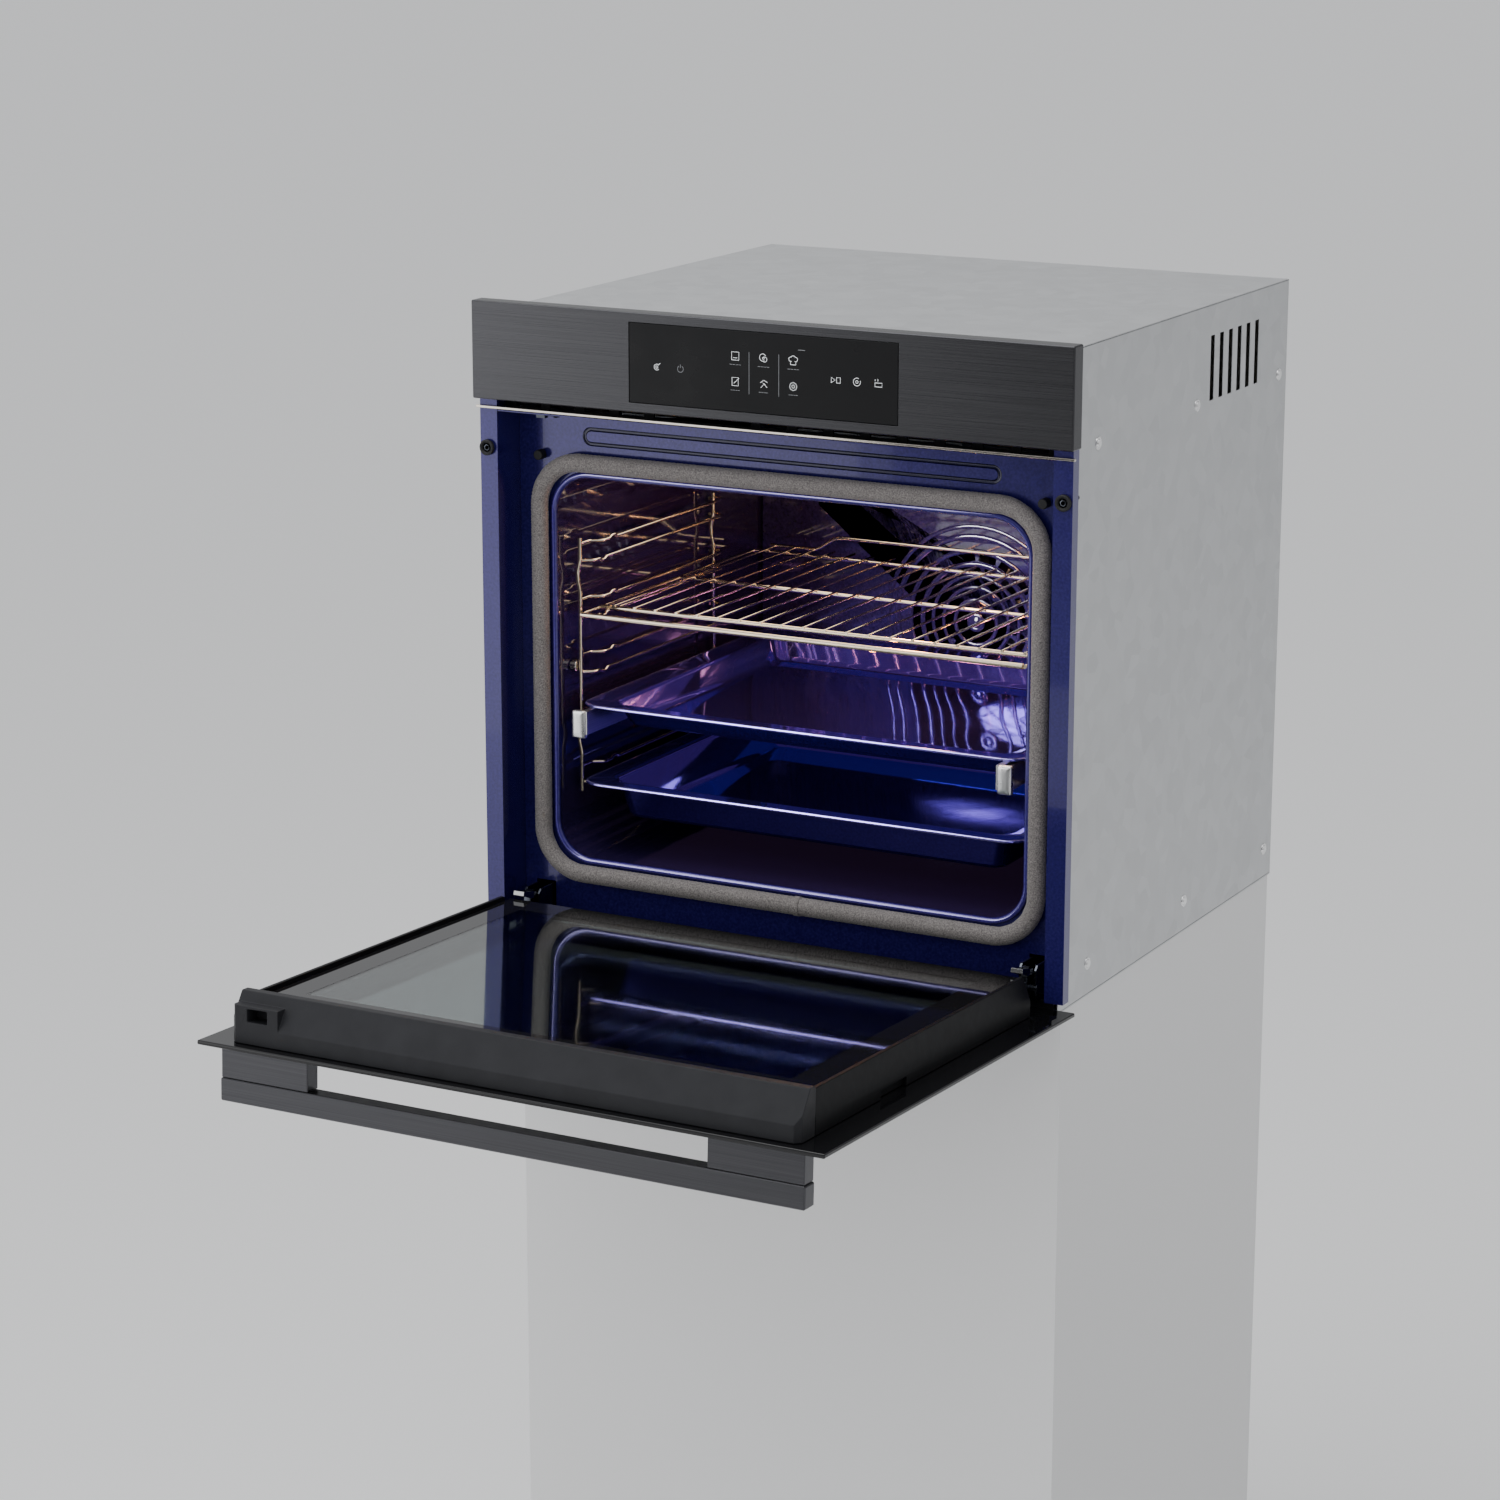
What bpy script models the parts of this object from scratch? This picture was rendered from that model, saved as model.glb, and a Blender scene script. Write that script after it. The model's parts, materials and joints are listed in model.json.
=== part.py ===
"""Built-in wall oven, 60 cm class, door open on its stop.

Frame: X to the right, +Y into the wall, +Z up. The origin is the middle of the
housing base, in the plane where the side flanges seat on the cabinet's front edge.
Lengths below are in millimetres and become metres in the mesh helpers. The door is
drawn closed, then swung open about its hinge line by the empty that carries it.
"""
import math

import bmesh
import bpy
from mathutils import Matrix, Vector

MM = 0.001
GAP = 0.3                      # clearance between pieces that touch

# ---- front --------------------------------------------------------------------
FRONT_HALF_W = 297.5
FRONT_TOP_Z = 598.0
PANEL_BOTTOM_Z = 508.5
FRONT_Y = -20.0                # plane of the control panel and of the closed door
PANEL_BACK_Y = -2.0
PANEL_SKIN = 1.6
DISPLAY_HALF_W = 133.0
DISPLAY_Z = (517.5, 589.0)
DISPLAY_THICK = 3.0

FLANGE_Y = -12.0               # face of the blue side flanges
FLANGE_IN_X = 276.5
FLANGE_OUT_X = 294.5
FLANGE_BOTTOM_Z = 17.6
FLANGE_TOP_Z = 586.0
SEAT_LIP_X = 289.5
SHEET = 1.2
FACE_Y = 28.0                  # main face round the oven's mouth
FACE_THICK = 2.0
DECK_Z = (497.0, 498.2)        # roof of the door recess

MOUTH_HALF_W = 241.5
MOUTH_Z = (71.0, 439.0)
MOUTH_RADIUS = 38.0
EMBOSS_HALF_W = 210.0
EMBOSS_Z = (464.7, 482.2)
EMBOSS_GROOVE = 4.0
EMBOSS_DEEP = 1.1
SCREW_AT = (286.5, 463.0)      # (X, Z) of the cabinet screws
HINGE_HOLE_HALF_W = 10.5
HINGE_HOLE_Z = (12.5, 47.0)
PLINTH_Z = 14.0                # the housing's front foot steps back below this

GASKET_HALF_W = 252.5          # centre line of the seal
GASKET_Z = (60.5, 449.5)
GASKET_RADIUS = 42.0
GASKET_FRONT_Y = 18.6

# ---- housing ------------------------------------------------------------------
SHELL_HALF_W = 279.3
SHELL_SKIN = 1.0
SHELL_TOP_Z = 589.3
SHELL_BACK_Y = 525.0
CAVITY_BACK_Y = 465.0
BAFFLE_Y = 430.0
CAVITY_SKIN = 1.2
BAFFLE_SKIN = 1.2
FAN_Z = 243.0
FAN_Y = (436.0, 456.0)
FAN_RADII = (13.0, 64.0)
FAN_BLADES = 12
# rings of slots over the fan: radius, half width and number of slots
FAN_SLOTS = ((29.0, 4.2, 9), (41.0, 3.6, 12), (52.0, 3.2, 15), (65.0, 3.7, 18))
SLOT_BRIDGE = 4.4
HUB_HOLES = (15.0, 2.6, 6)
SENSOR_SLOT = (-175.0, -102.0, 345.0, 352.5)
RING_HEATER = (80.0, 3.3, 449.0)   # ring radius, bar radius, Y
BLOWER_AT = (372.0, 530.0)     # (Y, Z) of the cooling blower's shaft
BLOWER_HALF_W = 125.0
BLOWER_RADII = (20.0, 27.0)
BLOWER_BLADES = 18
DUCT_HALF_W = 170.0
DUCT_Z = (499.0, 512.5)
HEATER_RADIUS = 3.2
TOP_HEATER_Z = 446.0
FLOOR_HEATER_Z = 63.8
LAMP_AT = (25.0, 165.0)
LAMP_RADIUS = 19.0
PROBE_AT = (-205.0, 405.0)     # (X, Z)
INSULATION_X = (246.0, 268.0)
INSULATION_Z = (46.5, 58.0, 452.0, 474.0)
INSULATION_Y = (34.0, 469.0, 485.0)

# ---- side racks, shelves and trays ---------------------------------------------
POST_X = 231.5
GUIDE_X = 220.5
FRONT_POST_Y = 57.0
REAR_POST_Y = 314.0
POST_Z = (130.0, 371.7)
POST_RADIUS = 2.0
GUIDE_RADIUS = 1.6
TOP_GUIDE_Z = 366.4
LEVEL_PITCH = 53.0
GUIDE_DROP = 16.0
GUIDE_LEAD = 8.0               # length over which a guide leaves its post
LEVELS = 5
RIM_HALF_W = 227.5
RIM_WIDTH = 24.0
TRAY_Y = (42.0, 414.0)
TRAY_SKIN = 1.0
UPPER_TRAY_Z = 215.3           # underside of each rim
LOWER_TRAY_Z = 140.4
UPPER_TRAY_DEEP = 22.0
LOWER_TRAY_DEEP = 36.0
RACK_Z = 301.6
RACK_SIDE_X = 226.0
RACK_Y = (47.0, 392.0)
RACK_WIRES = 20
RACK_PITCH = 22.1
RACK_WIRE_Y = (82.5, 404.0)
RACK_WIRE_LIFT = 3.2
RACK_BARS = ((84.0, 2.4, 0.8), (236.0, 2.2, 0.2), (388.0, 2.2, 0.2))   # Y, radius, lift
GUARD_X = (215.0, 163.0, 141.0)    # ends, foot and shoulder of the rear guard
GUARD_LIFT = (3.6, 17.8)
SLIDE_X = (208.6, 214.7)       # moving member of a telescopic rail
SLIDE_FIXED_X = (215.0, 218.6)
SLIDE_Y = (28.0, 378.0)
TAB_X = (210.5, 224.0)         # front cap of a moving member

# ---- door, drawn closed -----------------------------------------------------------
HINGE_Y = 2.8
HINGE_Z = 24.6
DOOR_OPEN = math.radians(87.35)
PLATE_Z = (18.0, 499.0)
PLATE_BACK_Y = -16.0
RAIL_X = (262.5, 266.5, 270.0)
RAIL_TOP_Y = 22.0
RAIL_SHOULDER_Y = -1.0
RAIL_Z = (53.0, 462.0)
INNER_GLASS_Y = (15.0, 18.0)
CAP_TOP_Z = 489.0
CAP_RIDGE = (26.0, 472.0)
HANDLE_Z = (475.8, 492.8)
HANDLE_Y = (-67.5, -47.3)
POST_BLOCK_X = (190.0, 277.0)
HINGE_X = 254.5                # middle of each hinge
LOCK_PIVOT = (18.7, 30.5)      # (Y, Z) of a hinge lock's pivot while the door is shut


# ---- helpers ----------------------------------------------------------------------
def material(name, colour, roughness, metallic=0.0, transmission=0.0):
    found = bpy.data.materials.get(name)
    if found:
        return found
    made = bpy.data.materials.new(name)
    made.use_nodes = True
    shader = made.node_tree.nodes["Principled BSDF"]
    shader.inputs["Base Color"].default_value = (*colour, 1.0)
    shader.inputs["Roughness"].default_value = roughness
    shader.inputs["Metallic"].default_value = metallic
    shader.inputs["Transmission Weight"].default_value = transmission
    made.diffuse_color = (*colour, 1.0)
    return made


ENAMEL = dict(name="blue_enamel", colour=(0.02, 0.02, 0.16), roughness=0.25)
GRAPHITE = dict(name="brushed_graphite", colour=(0.09, 0.09, 0.10), roughness=0.4, metallic=0.8)
GLASS = dict(name="black_glass", colour=(0.01, 0.01, 0.012), roughness=0.05)
CLEAR = dict(name="clear_glass", colour=(0.7, 0.75, 0.75), roughness=0.03, transmission=0.8)
CHROME = dict(name="chrome", colour=(0.8, 0.8, 0.8), roughness=0.15, metallic=1.0)
STEEL = dict(name="galvanised", colour=(0.5, 0.5, 0.5), roughness=0.45, metallic=0.9)
DARK_STEEL = dict(name="dark_steel", colour=(0.06, 0.06, 0.07), roughness=0.35, metallic=0.9)
PLASTIC = dict(name="black_plastic", colour=(0.02, 0.02, 0.022), roughness=0.5)
RUBBER = dict(name="black_rubber", colour=(0.012, 0.012, 0.012), roughness=0.8)
FABRIC = dict(name="woven_seal", colour=(0.35, 0.32, 0.28), roughness=0.9)
WOOL = dict(name="mineral_wool", colour=(0.75, 0.7, 0.5), roughness=1.0)


def finish_mesh(name, bm, look, origin=(0.0, 0.0, 0.0), smooth=True):
    """Puts a bmesh drawn in millimetres into the scene, in metres, about its origin."""
    at = Vector(origin)
    bmesh.ops.translate(bm, verts=bm.verts, vec=-at)
    bmesh.ops.scale(bm, verts=bm.verts, vec=(MM, MM, MM))
    bmesh.ops.recalc_face_normals(bm, faces=bm.faces)
    mesh = bpy.data.meshes.new(name)
    bm.to_mesh(mesh)
    bm.free()
    made = bpy.data.objects.new(name, mesh)
    made.location = at * MM
    bpy.context.scene.collection.objects.link(made)
    mesh.materials.append(material(**look))
    if smooth:
        mesh.shade_smooth()
        mesh.set_sharp_from_angle(angle=math.radians(35))
    return made


def prism_mesh(outline, axis, low, high):
    """A closed prism: an outline of (a, b) points carried along X, Y or Z.

    The points are (Y, Z) for X, (X, Z) for Y and (X, Y) for Z.
    """
    place = {
        "X": lambda a, b, c: (c, a, b),
        "Y": lambda a, b, c: (a, c, b),
        "Z": lambda a, b, c: (a, b, c),
    }[axis]
    bm = bmesh.new()
    start = [bm.verts.new(place(a, b, low)) for a, b in outline]
    end = [bm.verts.new(place(a, b, high)) for a, b in outline]
    bm.faces.new(start)
    bm.faces.new(list(reversed(end)))
    for i in range(len(outline)):
        j = (i + 1) % len(outline)
        bm.faces.new((start[i], end[i], end[j], start[j]))
    return bm


def prism(name, outline, axis, low, high, look, origin=(0.0, 0.0, 0.0)):
    return finish_mesh(name, prism_mesh(outline, axis, low, high), look, origin)


def rectangle(a0, a1, b0, b1):
    return [(a0, b0), (a1, b0), (a1, b1), (a0, b1)]


def rounded(a0, a1, b0, b1, radius, steps=5):
    """A rectangle with round corners, as a list of points."""
    corners = ((a1 - radius, b0 + radius, -90), (a1 - radius, b1 - radius, 0),
               (a0 + radius, b1 - radius, 90), (a0 + radius, b0 + radius, 180))
    points = []
    for ca, cb, start in corners:
        for i in range(steps + 1):
            turn = math.radians(start + 90 * i / steps)
            points.append((ca + radius * math.cos(turn), cb + radius * math.sin(turn)))
    return points


def circle(ca, cb, radius, steps=20):
    turns = (2 * math.pi * i / steps for i in range(steps))
    return [(ca + radius * math.cos(t), cb + radius * math.sin(t)) for t in turns]


def box(name, x, y, z, look, origin=(0.0, 0.0, 0.0)):
    return prism(name, rectangle(x[0], x[1], y[0], y[1]), "Z", z[0], z[1], look, origin)


def bevelled(made, width):
    """Rounds an object's edges; the width is in millimetres."""
    bevel = made.modifiers.new("edge", "BEVEL")
    bevel.width = width * MM
    bevel.segments = 1
    bevel.limit_method = "ANGLE"
    bevel.angle_limit = math.radians(40)
    return made


def mirrored(pair, side):
    """A span of X values, on the left for side -1 and on the right for side 1."""
    return tuple(sorted((side * pair[0], side * pair[1])))


def combine(target, others, operation):
    """Applies one Boolean per tool and removes the tools."""
    for tool in others:
        step = target.modifiers.new("cut", "BOOLEAN")
        step.object = tool
        step.operation = operation
        step.solver = "EXACT"
    bpy.context.view_layer.update()
    graph = bpy.context.evaluated_depsgraph_get()
    mesh = bpy.data.meshes.new_from_object(target.evaluated_get(graph), depsgraph=graph)
    target.modifiers.clear()
    old = target.data
    target.data = mesh
    bpy.data.meshes.remove(old)
    for tool in others:
        bpy.data.objects.remove(tool, do_unlink=True)
    mesh.shade_smooth()
    mesh.set_sharp_from_angle(angle=math.radians(35))
    return target


def carve(target, cutters):
    return combine(target, cutters, "DIFFERENCE")


def weld(target, others):
    return combine(target, others, "UNION")


def tube_mesh(points, radius, sides=6):
    """A round bar along a list of points, with flat ends."""
    path = [Vector(p) for p in points]
    bm = bmesh.new()
    normal = None
    rings = []
    for i, at in enumerate(path):
        ahead = path[min(i + 1, len(path) - 1)] - at
        behind = at - path[max(i - 1, 0)]
        along = (ahead.normalized() + behind.normalized()).normalized()
        if normal is None:
            normal = along.orthogonal().normalized()
        normal = (normal - along * normal.dot(along)).normalized()
        across = along.cross(normal)
        stretch = 1.0
        if 0 < i < len(path) - 1:
            stretch = 1.0 / max(0.5, along.dot(ahead.normalized()))
        ring = []
        for k in range(sides):
            turn = 2 * math.pi * (k + 0.5) / sides
            spoke = normal * math.cos(turn) + across * math.sin(turn)
            ring.append(bm.verts.new(at + spoke * radius * stretch))
        rings.append(ring)
    for a, b in zip(rings, rings[1:]):
        for k in range(sides):
            n = (k + 1) % sides
            bm.faces.new((a[k], a[n], b[n], b[k]))
    bm.faces.new(list(reversed(rings[0])))
    bm.faces.new(rings[-1])
    return bm


def tube(name, points, radius, look, sides=6, origin=(0.0, 0.0, 0.0)):
    return finish_mesh(name, tube_mesh(points, radius, sides), look, origin)


def turned_ring(name, centre, radius, thick, look, steps=28, sides=6):
    """A ring of round bar that lies across the Y axis."""
    bm = bmesh.new()
    rings = []
    for i in range(steps):
        turn = 2 * math.pi * i / steps
        out = Vector((math.cos(turn), 0.0, math.sin(turn)))
        ring = []
        for k in range(sides):
            lean = 2 * math.pi * k / sides
            offset = out * (radius + thick * math.cos(lean)) + Vector((0, thick * math.sin(lean), 0))
            ring.append(bm.verts.new(Vector(centre) + offset))
        rings.append(ring)
    for i, ring in enumerate(rings):
        following = rings[(i + 1) % steps]
        for k in range(sides):
            n = (k + 1) % sides
            bm.faces.new((ring[k], ring[n], following[n], following[k]))
    return finish_mesh(name, bm, look)


def comb_outline(inner, outer, teeth, tooth):
    """The section of a bladed wheel: a core with thin radial blades."""
    points = []
    for i in range(teeth):
        turn = 2 * math.pi * i / teeth
        half_in = math.asin(tooth / 2 / inner)
        half_out = math.asin(tooth / 2 / outer)
        for radius, offset in ((inner, -half_in), (outer, -half_out), (outer, half_out), (inner, half_in)):
            points.append((radius * math.cos(turn + offset), radius * math.sin(turn + offset)))
    return points


# ---- front frame, panel and trim --------------------------------------------------------
def front_frame():
    """The blue pressing: face with the mouth, recess walls, flanges and seats."""
    face = prism("front_frame", rectangle(-FLANGE_IN_X - SHEET, FLANGE_IN_X + SHEET, 4.0, DECK_Z[1]),
                 "Y", FACE_Y, FACE_Y + FACE_THICK, ENAMEL)
    flange = [
        (FLANGE_IN_X, FACE_Y + 0.5), (FLANGE_IN_X, FLANGE_Y), (FLANGE_OUT_X, FLANGE_Y),
        (FLANGE_OUT_X, 0.0), (SEAT_LIP_X, 0.0), (SEAT_LIP_X, -SHEET),
        (FLANGE_OUT_X - SHEET, -SHEET), (FLANGE_OUT_X - SHEET, FLANGE_Y + SHEET),
        (FLANGE_IN_X + SHEET, FLANGE_Y + SHEET), (FLANGE_IN_X + SHEET, FACE_Y + 0.5)]
    sides = [prism("flange", [(side * x, y) for x, y in flange], "Z", FLANGE_BOTTOM_Z, FLANGE_TOP_Z, ENAMEL)
             for side in (-1, 1)]
    deck = box("deck", (-FLANGE_IN_X - 0.5, FLANGE_IN_X + 0.5), (FLANGE_Y + 0.5, FACE_Y + 0.5),
               DECK_Z, ENAMEL)
    weld(face, [*sides, deck])
    cutters = [prism("mouth", rounded(-MOUTH_HALF_W, MOUTH_HALF_W, *MOUTH_Z, MOUTH_RADIUS, 6),
                     "Y", FACE_Y - 5, FACE_Y + 8, ENAMEL)]
    half_high = (EMBOSS_Z[1] - EMBOSS_Z[0]) / 2
    groove = prism("groove", rounded(-EMBOSS_HALF_W, EMBOSS_HALF_W, *EMBOSS_Z, half_high - 0.01),
                   "Y", FACE_Y - 5, FACE_Y + EMBOSS_DEEP, ENAMEL)
    island = prism("island", rounded(-EMBOSS_HALF_W + EMBOSS_GROOVE, EMBOSS_HALF_W - EMBOSS_GROOVE,
                                     EMBOSS_Z[0] + EMBOSS_GROOVE, EMBOSS_Z[1] - EMBOSS_GROOVE,
                                     half_high - EMBOSS_GROOVE - 0.01), "Y", FACE_Y - 6, FACE_Y + 6, ENAMEL)
    cutters.append(carve(groove, [island]))
    for side in (-1, 1):
        hole_x = mirrored((HINGE_X - HINGE_HOLE_HALF_W, HINGE_X + HINGE_HOLE_HALF_W), side)
        cutters.append(box("hinge_hole", hole_x, (FACE_Y - 5, FACE_Y + 8), HINGE_HOLE_Z, ENAMEL))
        screw = circle(side * SCREW_AT[0], SCREW_AT[1], 2.6, 12)
        cutters.append(prism("screw_hole", screw, "Y", -20, 6, ENAMEL))
    return carve(face, cutters)


def control_panel():
    """A brushed tray-shaped plate: front skin with returned edges and a display seat."""
    panel = bevelled(box("control_panel", (-FRONT_HALF_W, FRONT_HALF_W), (FRONT_Y, PANEL_BACK_Y),
                         (PANEL_BOTTOM_Z, FRONT_TOP_Z), GRAPHITE), 1.0)
    hollow = box("hollow", (-FRONT_HALF_W + PANEL_SKIN, FRONT_HALF_W - PANEL_SKIN),
                 (FRONT_Y + DISPLAY_THICK + 2.4, PANEL_BACK_Y + 5),
                 (PANEL_BOTTOM_Z + PANEL_SKIN, FRONT_TOP_Z - PANEL_SKIN), GRAPHITE)
    seat = box("seat", (-DISPLAY_HALF_W - GAP, DISPLAY_HALF_W + GAP),
               (FRONT_Y - 5, FRONT_Y + DISPLAY_THICK + GAP),
               (DISPLAY_Z[0] - GAP, DISPLAY_Z[1] + GAP), GRAPHITE)
    notches = [box("notch", mirrored((FLANGE_IN_X - 0.5, FLANGE_OUT_X + 0.5), side), (FLANGE_Y - 0.5, 5.0),
                   (PANEL_BOTTOM_Z - 5, PANEL_BOTTOM_Z + 5), GRAPHITE) for side in (-1, 1)]
    return carve(panel, [hollow, seat, *notches])


def display():
    glass = box("display_glass", (-DISPLAY_HALF_W, DISPLAY_HALF_W), (FRONT_Y, FRONT_Y + DISPLAY_THICK),
                DISPLAY_Z, GLASS)
    bevelled(glass, 0.5)


def trim_and_vent():
    strip = box("trim_strip", (-297.2, 297.2), (-15.4, FLANGE_Y - GAP), (499.3, 501.9), CHROME)
    bevelled(strip, 0.5)
    grille = box("vent_grille", (-276.0, 276.0), (3.0, 5.0), (DECK_Z[1] + GAP, 511.5), PLASTIC)
    slots = [box("slot", (x, x + 26.0), (-2.0, 9.0), (500.6, 507.4), PLASTIC) for x in range(-265, 250, 36)]
    carve(grille, slots)


def screws_and_buffers():
    for side, word in ((-1, "left"), (1, "right")):
        at = (side * SCREW_AT[0], SCREW_AT[1])
        head = prism("fixing_screw_" + word, circle(*at, 7.3, 20), "Y", -14.8, FLANGE_Y - GAP, RUBBER)
        carve(head, [prism("dish", circle(*at, 4.2, 16), "Y", -20.0, -13.6, RUBBER)])
        weld(head, [prism("shank", circle(*at, 2.2, 10), "Y", -12.8, 16.0, RUBBER)])
        bevelled(prism("door_buffer_" + word, circle(side * 252.7, 453.5, 4.6, 16), "Y",
                       18.6, FACE_Y - GAP, RUBBER), 0.6)


def gasket():
    """The woven seal round the mouth, as a swept half-round section."""
    section = [(-8.5, 27.7), (-8.5, 23.4), (-6.2, 19.9), (0.0, GASKET_FRONT_Y),
               (6.2, 19.9), (8.5, 23.4), (8.5, 27.7)]
    loops = [rounded(-GASKET_HALF_W - off, GASKET_HALF_W + off, GASKET_Z[0] - off, GASKET_Z[1] + off,
                     GASKET_RADIUS + off, 6) for off, _ in section]
    bm = bmesh.new()
    rows = [[bm.verts.new((x, y, z)) for x, z in loop] for loop, (_, y) in zip(loops, section)]
    count = len(rows[0])
    for a, b in zip(rows, rows[1:] + rows[:1]):
        for i in range(count):
            j = (i + 1) % count
            bm.faces.new((a[i], a[j], b[j], b[i]))
    finish_mesh("door_gasket", bm, FABRIC)


def latch():
    """Door latch: a hooked finger on a pin, above the door's socket."""
    pivot = (24.4, 493.6)
    hook = prism("latch_hook", [(25.6, 491.0), (26.4, 496.0), (8.0, 496.2), (6.0, 493.5), (6.4, 490.6),
                                (11.5, 490.6), (12.5, 492.2)], "X", -246.0, -237.0, DARK_STEEL,
                 origin=(-241.5, *pivot))
    carve(hook, [prism("bore", circle(*pivot, 1.3, 12), "X", -260, -220, DARK_STEEL)])
    bracket = box("latch_bracket", (-249.6, -233.4), (21.0, FACE_Y - GAP), (489.0, 496.6), PLASTIC)
    carve(bracket, [box("gap", (-246.3, -236.7), (15.0, 27.0), (480.0, 500.0), PLASTIC)])
    weld(bracket, [prism("pin", circle(*pivot, 1.0, 12), "X", -248.6, -234.4, PLASTIC)])


# ---- housing -----------------------------------------------------------------------------
def housing():
    side_z = (1.5, SHELL_TOP_Z - SHELL_SKIN - GAP)
    for side, word in ((-1, "left"), (1, "right")):
        x = mirrored((SHELL_HALF_W - SHELL_SKIN, SHELL_HALF_W), side)
        back = SHELL_BACK_Y - SHELL_SKIN - GAP
        outline = [(12.0, side_z[0]), (back, side_z[0]), (back, side_z[1]), (0.5, side_z[1]), (0.5, PLINTH_Z),
                   (12.0, PLINTH_Z)]
        wall = prism("housing_" + word, outline, "X", *x, STEEL)
        vents = [box("vent", (side * 270.0 - 20, side * 270.0 + 20), (330.0 + 22 * i, 340.0 + 22 * i),
                     (500.0, 560.0), STEEL) for i in range(6)]
        carve(wall, vents)
    box("housing_top", (-SHELL_HALF_W, SHELL_HALF_W), (0.5, SHELL_BACK_Y - SHELL_SKIN - GAP),
        (SHELL_TOP_Z - SHELL_SKIN, SHELL_TOP_Z), STEEL)
    box("housing_base", (-SHELL_HALF_W, SHELL_HALF_W), (12.0, SHELL_BACK_Y - SHELL_SKIN - GAP),
        (0.0, 1.2), STEEL)
    back = box("housing_back", (-SHELL_HALF_W, SHELL_HALF_W), (SHELL_BACK_Y - SHELL_SKIN, SHELL_BACK_Y),
               (0.0, SHELL_TOP_Z), STEEL)
    louvres = [box("louvre", (-90.0, 90.0), (SHELL_BACK_Y - 8, SHELL_BACK_Y + 8),
                   (60.0 + 22 * i, 66.0 + 22 * i), STEEL) for i in range(5)]
    carve(back, louvres)
    plinth = [(10.0, 1.8), (11.2, 1.8), (11.2, 10.8), (27.5, 10.8), (27.5, 12.0), (10.0, 12.0)]
    prism("plinth_trim", plinth, "X", -276.0, 276.0, PLASTIC)
    terminal = box("terminal_block", (-232.0, -180.0), (SHELL_BACK_Y + GAP, SHELL_BACK_Y + 16),
                   (505.0, 545.0), PLASTIC)
    bevelled(terminal, 2.0)


def cavity():
    """Enamel liner, open at the mouth, with a hole for the fan shaft."""
    skin = CAVITY_SKIN
    outer = rounded(-MOUTH_HALF_W - skin, MOUTH_HALF_W + skin, MOUTH_Z[0] - skin, MOUTH_Z[1] + skin,
                    MOUTH_RADIUS + skin, 6)
    liner = prism("cavity_liner", outer, "Y", FACE_Y + FACE_THICK + GAP, CAVITY_BACK_Y + skin, ENAMEL)
    room = prism("room", rounded(-MOUTH_HALF_W, MOUTH_HALF_W, *MOUTH_Z, MOUTH_RADIUS, 6),
                 "Y", FACE_Y - 10, CAVITY_BACK_Y, ENAMEL)
    shaft_hole = prism("shaft_hole", circle(0.0, FAN_Z, 7.0, 12), "Y", CAVITY_BACK_Y - 10,
                       CAVITY_BACK_Y + 10, ENAMEL)
    carve(liner, [room, shaft_hole])

    blanket = box("insulation", (-INSULATION_X[1], INSULATION_X[1]), (INSULATION_Y[0], INSULATION_Y[2]),
                  (INSULATION_Z[0], INSULATION_Z[3]), WOOL)
    inside = box("inside", (-INSULATION_X[0], INSULATION_X[0]), (INSULATION_Y[0] - 10, INSULATION_Y[1]),
                 (INSULATION_Z[1], INSULATION_Z[2]), WOOL)
    way = prism("way", circle(0.0, FAN_Z, 10.0, 12), "Y", INSULATION_Y[1] - 10, INSULATION_Y[2] + 10, WOOL)
    carve(blanket, [inside, way])


def slot_cutter(ring_radius, half_width, reach, turn):
    """A straight slot that lies across one spoke of the fan cover."""
    out = Vector((math.cos(turn), math.sin(turn)))
    along = Vector((-out.y, out.x))
    centre = Vector((0.0, FAN_Z)) + out * ring_radius
    outline = [centre + out * a * half_width + along * b * reach
               for a, b in ((-1, -1), (1, -1), (1, 1), (-1, 1))]
    return prism("slot", [tuple(p) for p in outline], "Y", BAFFLE_Y - 5, BAFFLE_Y + 6, ENAMEL)


def rear_baffle():
    """Removable rear wall with rings of air slots over the fan."""
    baffle = prism("rear_baffle", rounded(-238.5, 238.5, 74.0, 436.0, 35.0, 5), "Y", BAFFLE_Y,
                   BAFFLE_Y + BAFFLE_SKIN, ENAMEL)
    cutters = [box("sensor_slot", SENSOR_SLOT[:2], (BAFFLE_Y - 5, BAFFLE_Y + 6), SENSOR_SLOT[2:], ENAMEL)]
    for radius, half_width, count in FAN_SLOTS:
        reach = radius * math.tan(math.pi / count) - SLOT_BRIDGE / 2
        cutters += [slot_cutter(radius, half_width, reach, 2 * math.pi * i / count) for i in range(count)]
    radius, size, count = HUB_HOLES
    for i in range(count):
        turn = 2 * math.pi * i / count
        hole = circle(radius * math.cos(turn), FAN_Z + radius * math.sin(turn), size, 8)
        cutters.append(prism("hub_hole", hole, "Y", BAFFLE_Y - 5, BAFFLE_Y + 6, ENAMEL))
    carve(baffle, cutters)


def fans():
    axis = (0.0, 0.0, FAN_Z)
    wheel = [(x, z + FAN_Z) for x, z in comb_outline(*FAN_RADII, FAN_BLADES, 2.0)]
    fan = prism("convection_fan", wheel, "Y", *FAN_Y, STEEL, origin=axis)
    weld(fan, [prism("shaft", circle(0.0, FAN_Z, 4.0, 12), "Y", FAN_Y[1] - 6, INSULATION_Y[2] + 2.5,
                     STEEL, origin=axis)])
    motor = prism("fan_motor", circle(0.0, FAN_Z, 32.0, 20), "Y", INSULATION_Y[2] + 2.8, 520.0, STEEL)
    bevelled(motor, 3.0)
    ring_radius, bar_radius, ring_y = RING_HEATER
    turned_ring("ring_heater", (0.0, ring_y, FAN_Z), ring_radius, bar_radius, DARK_STEEL)
    blower()


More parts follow.
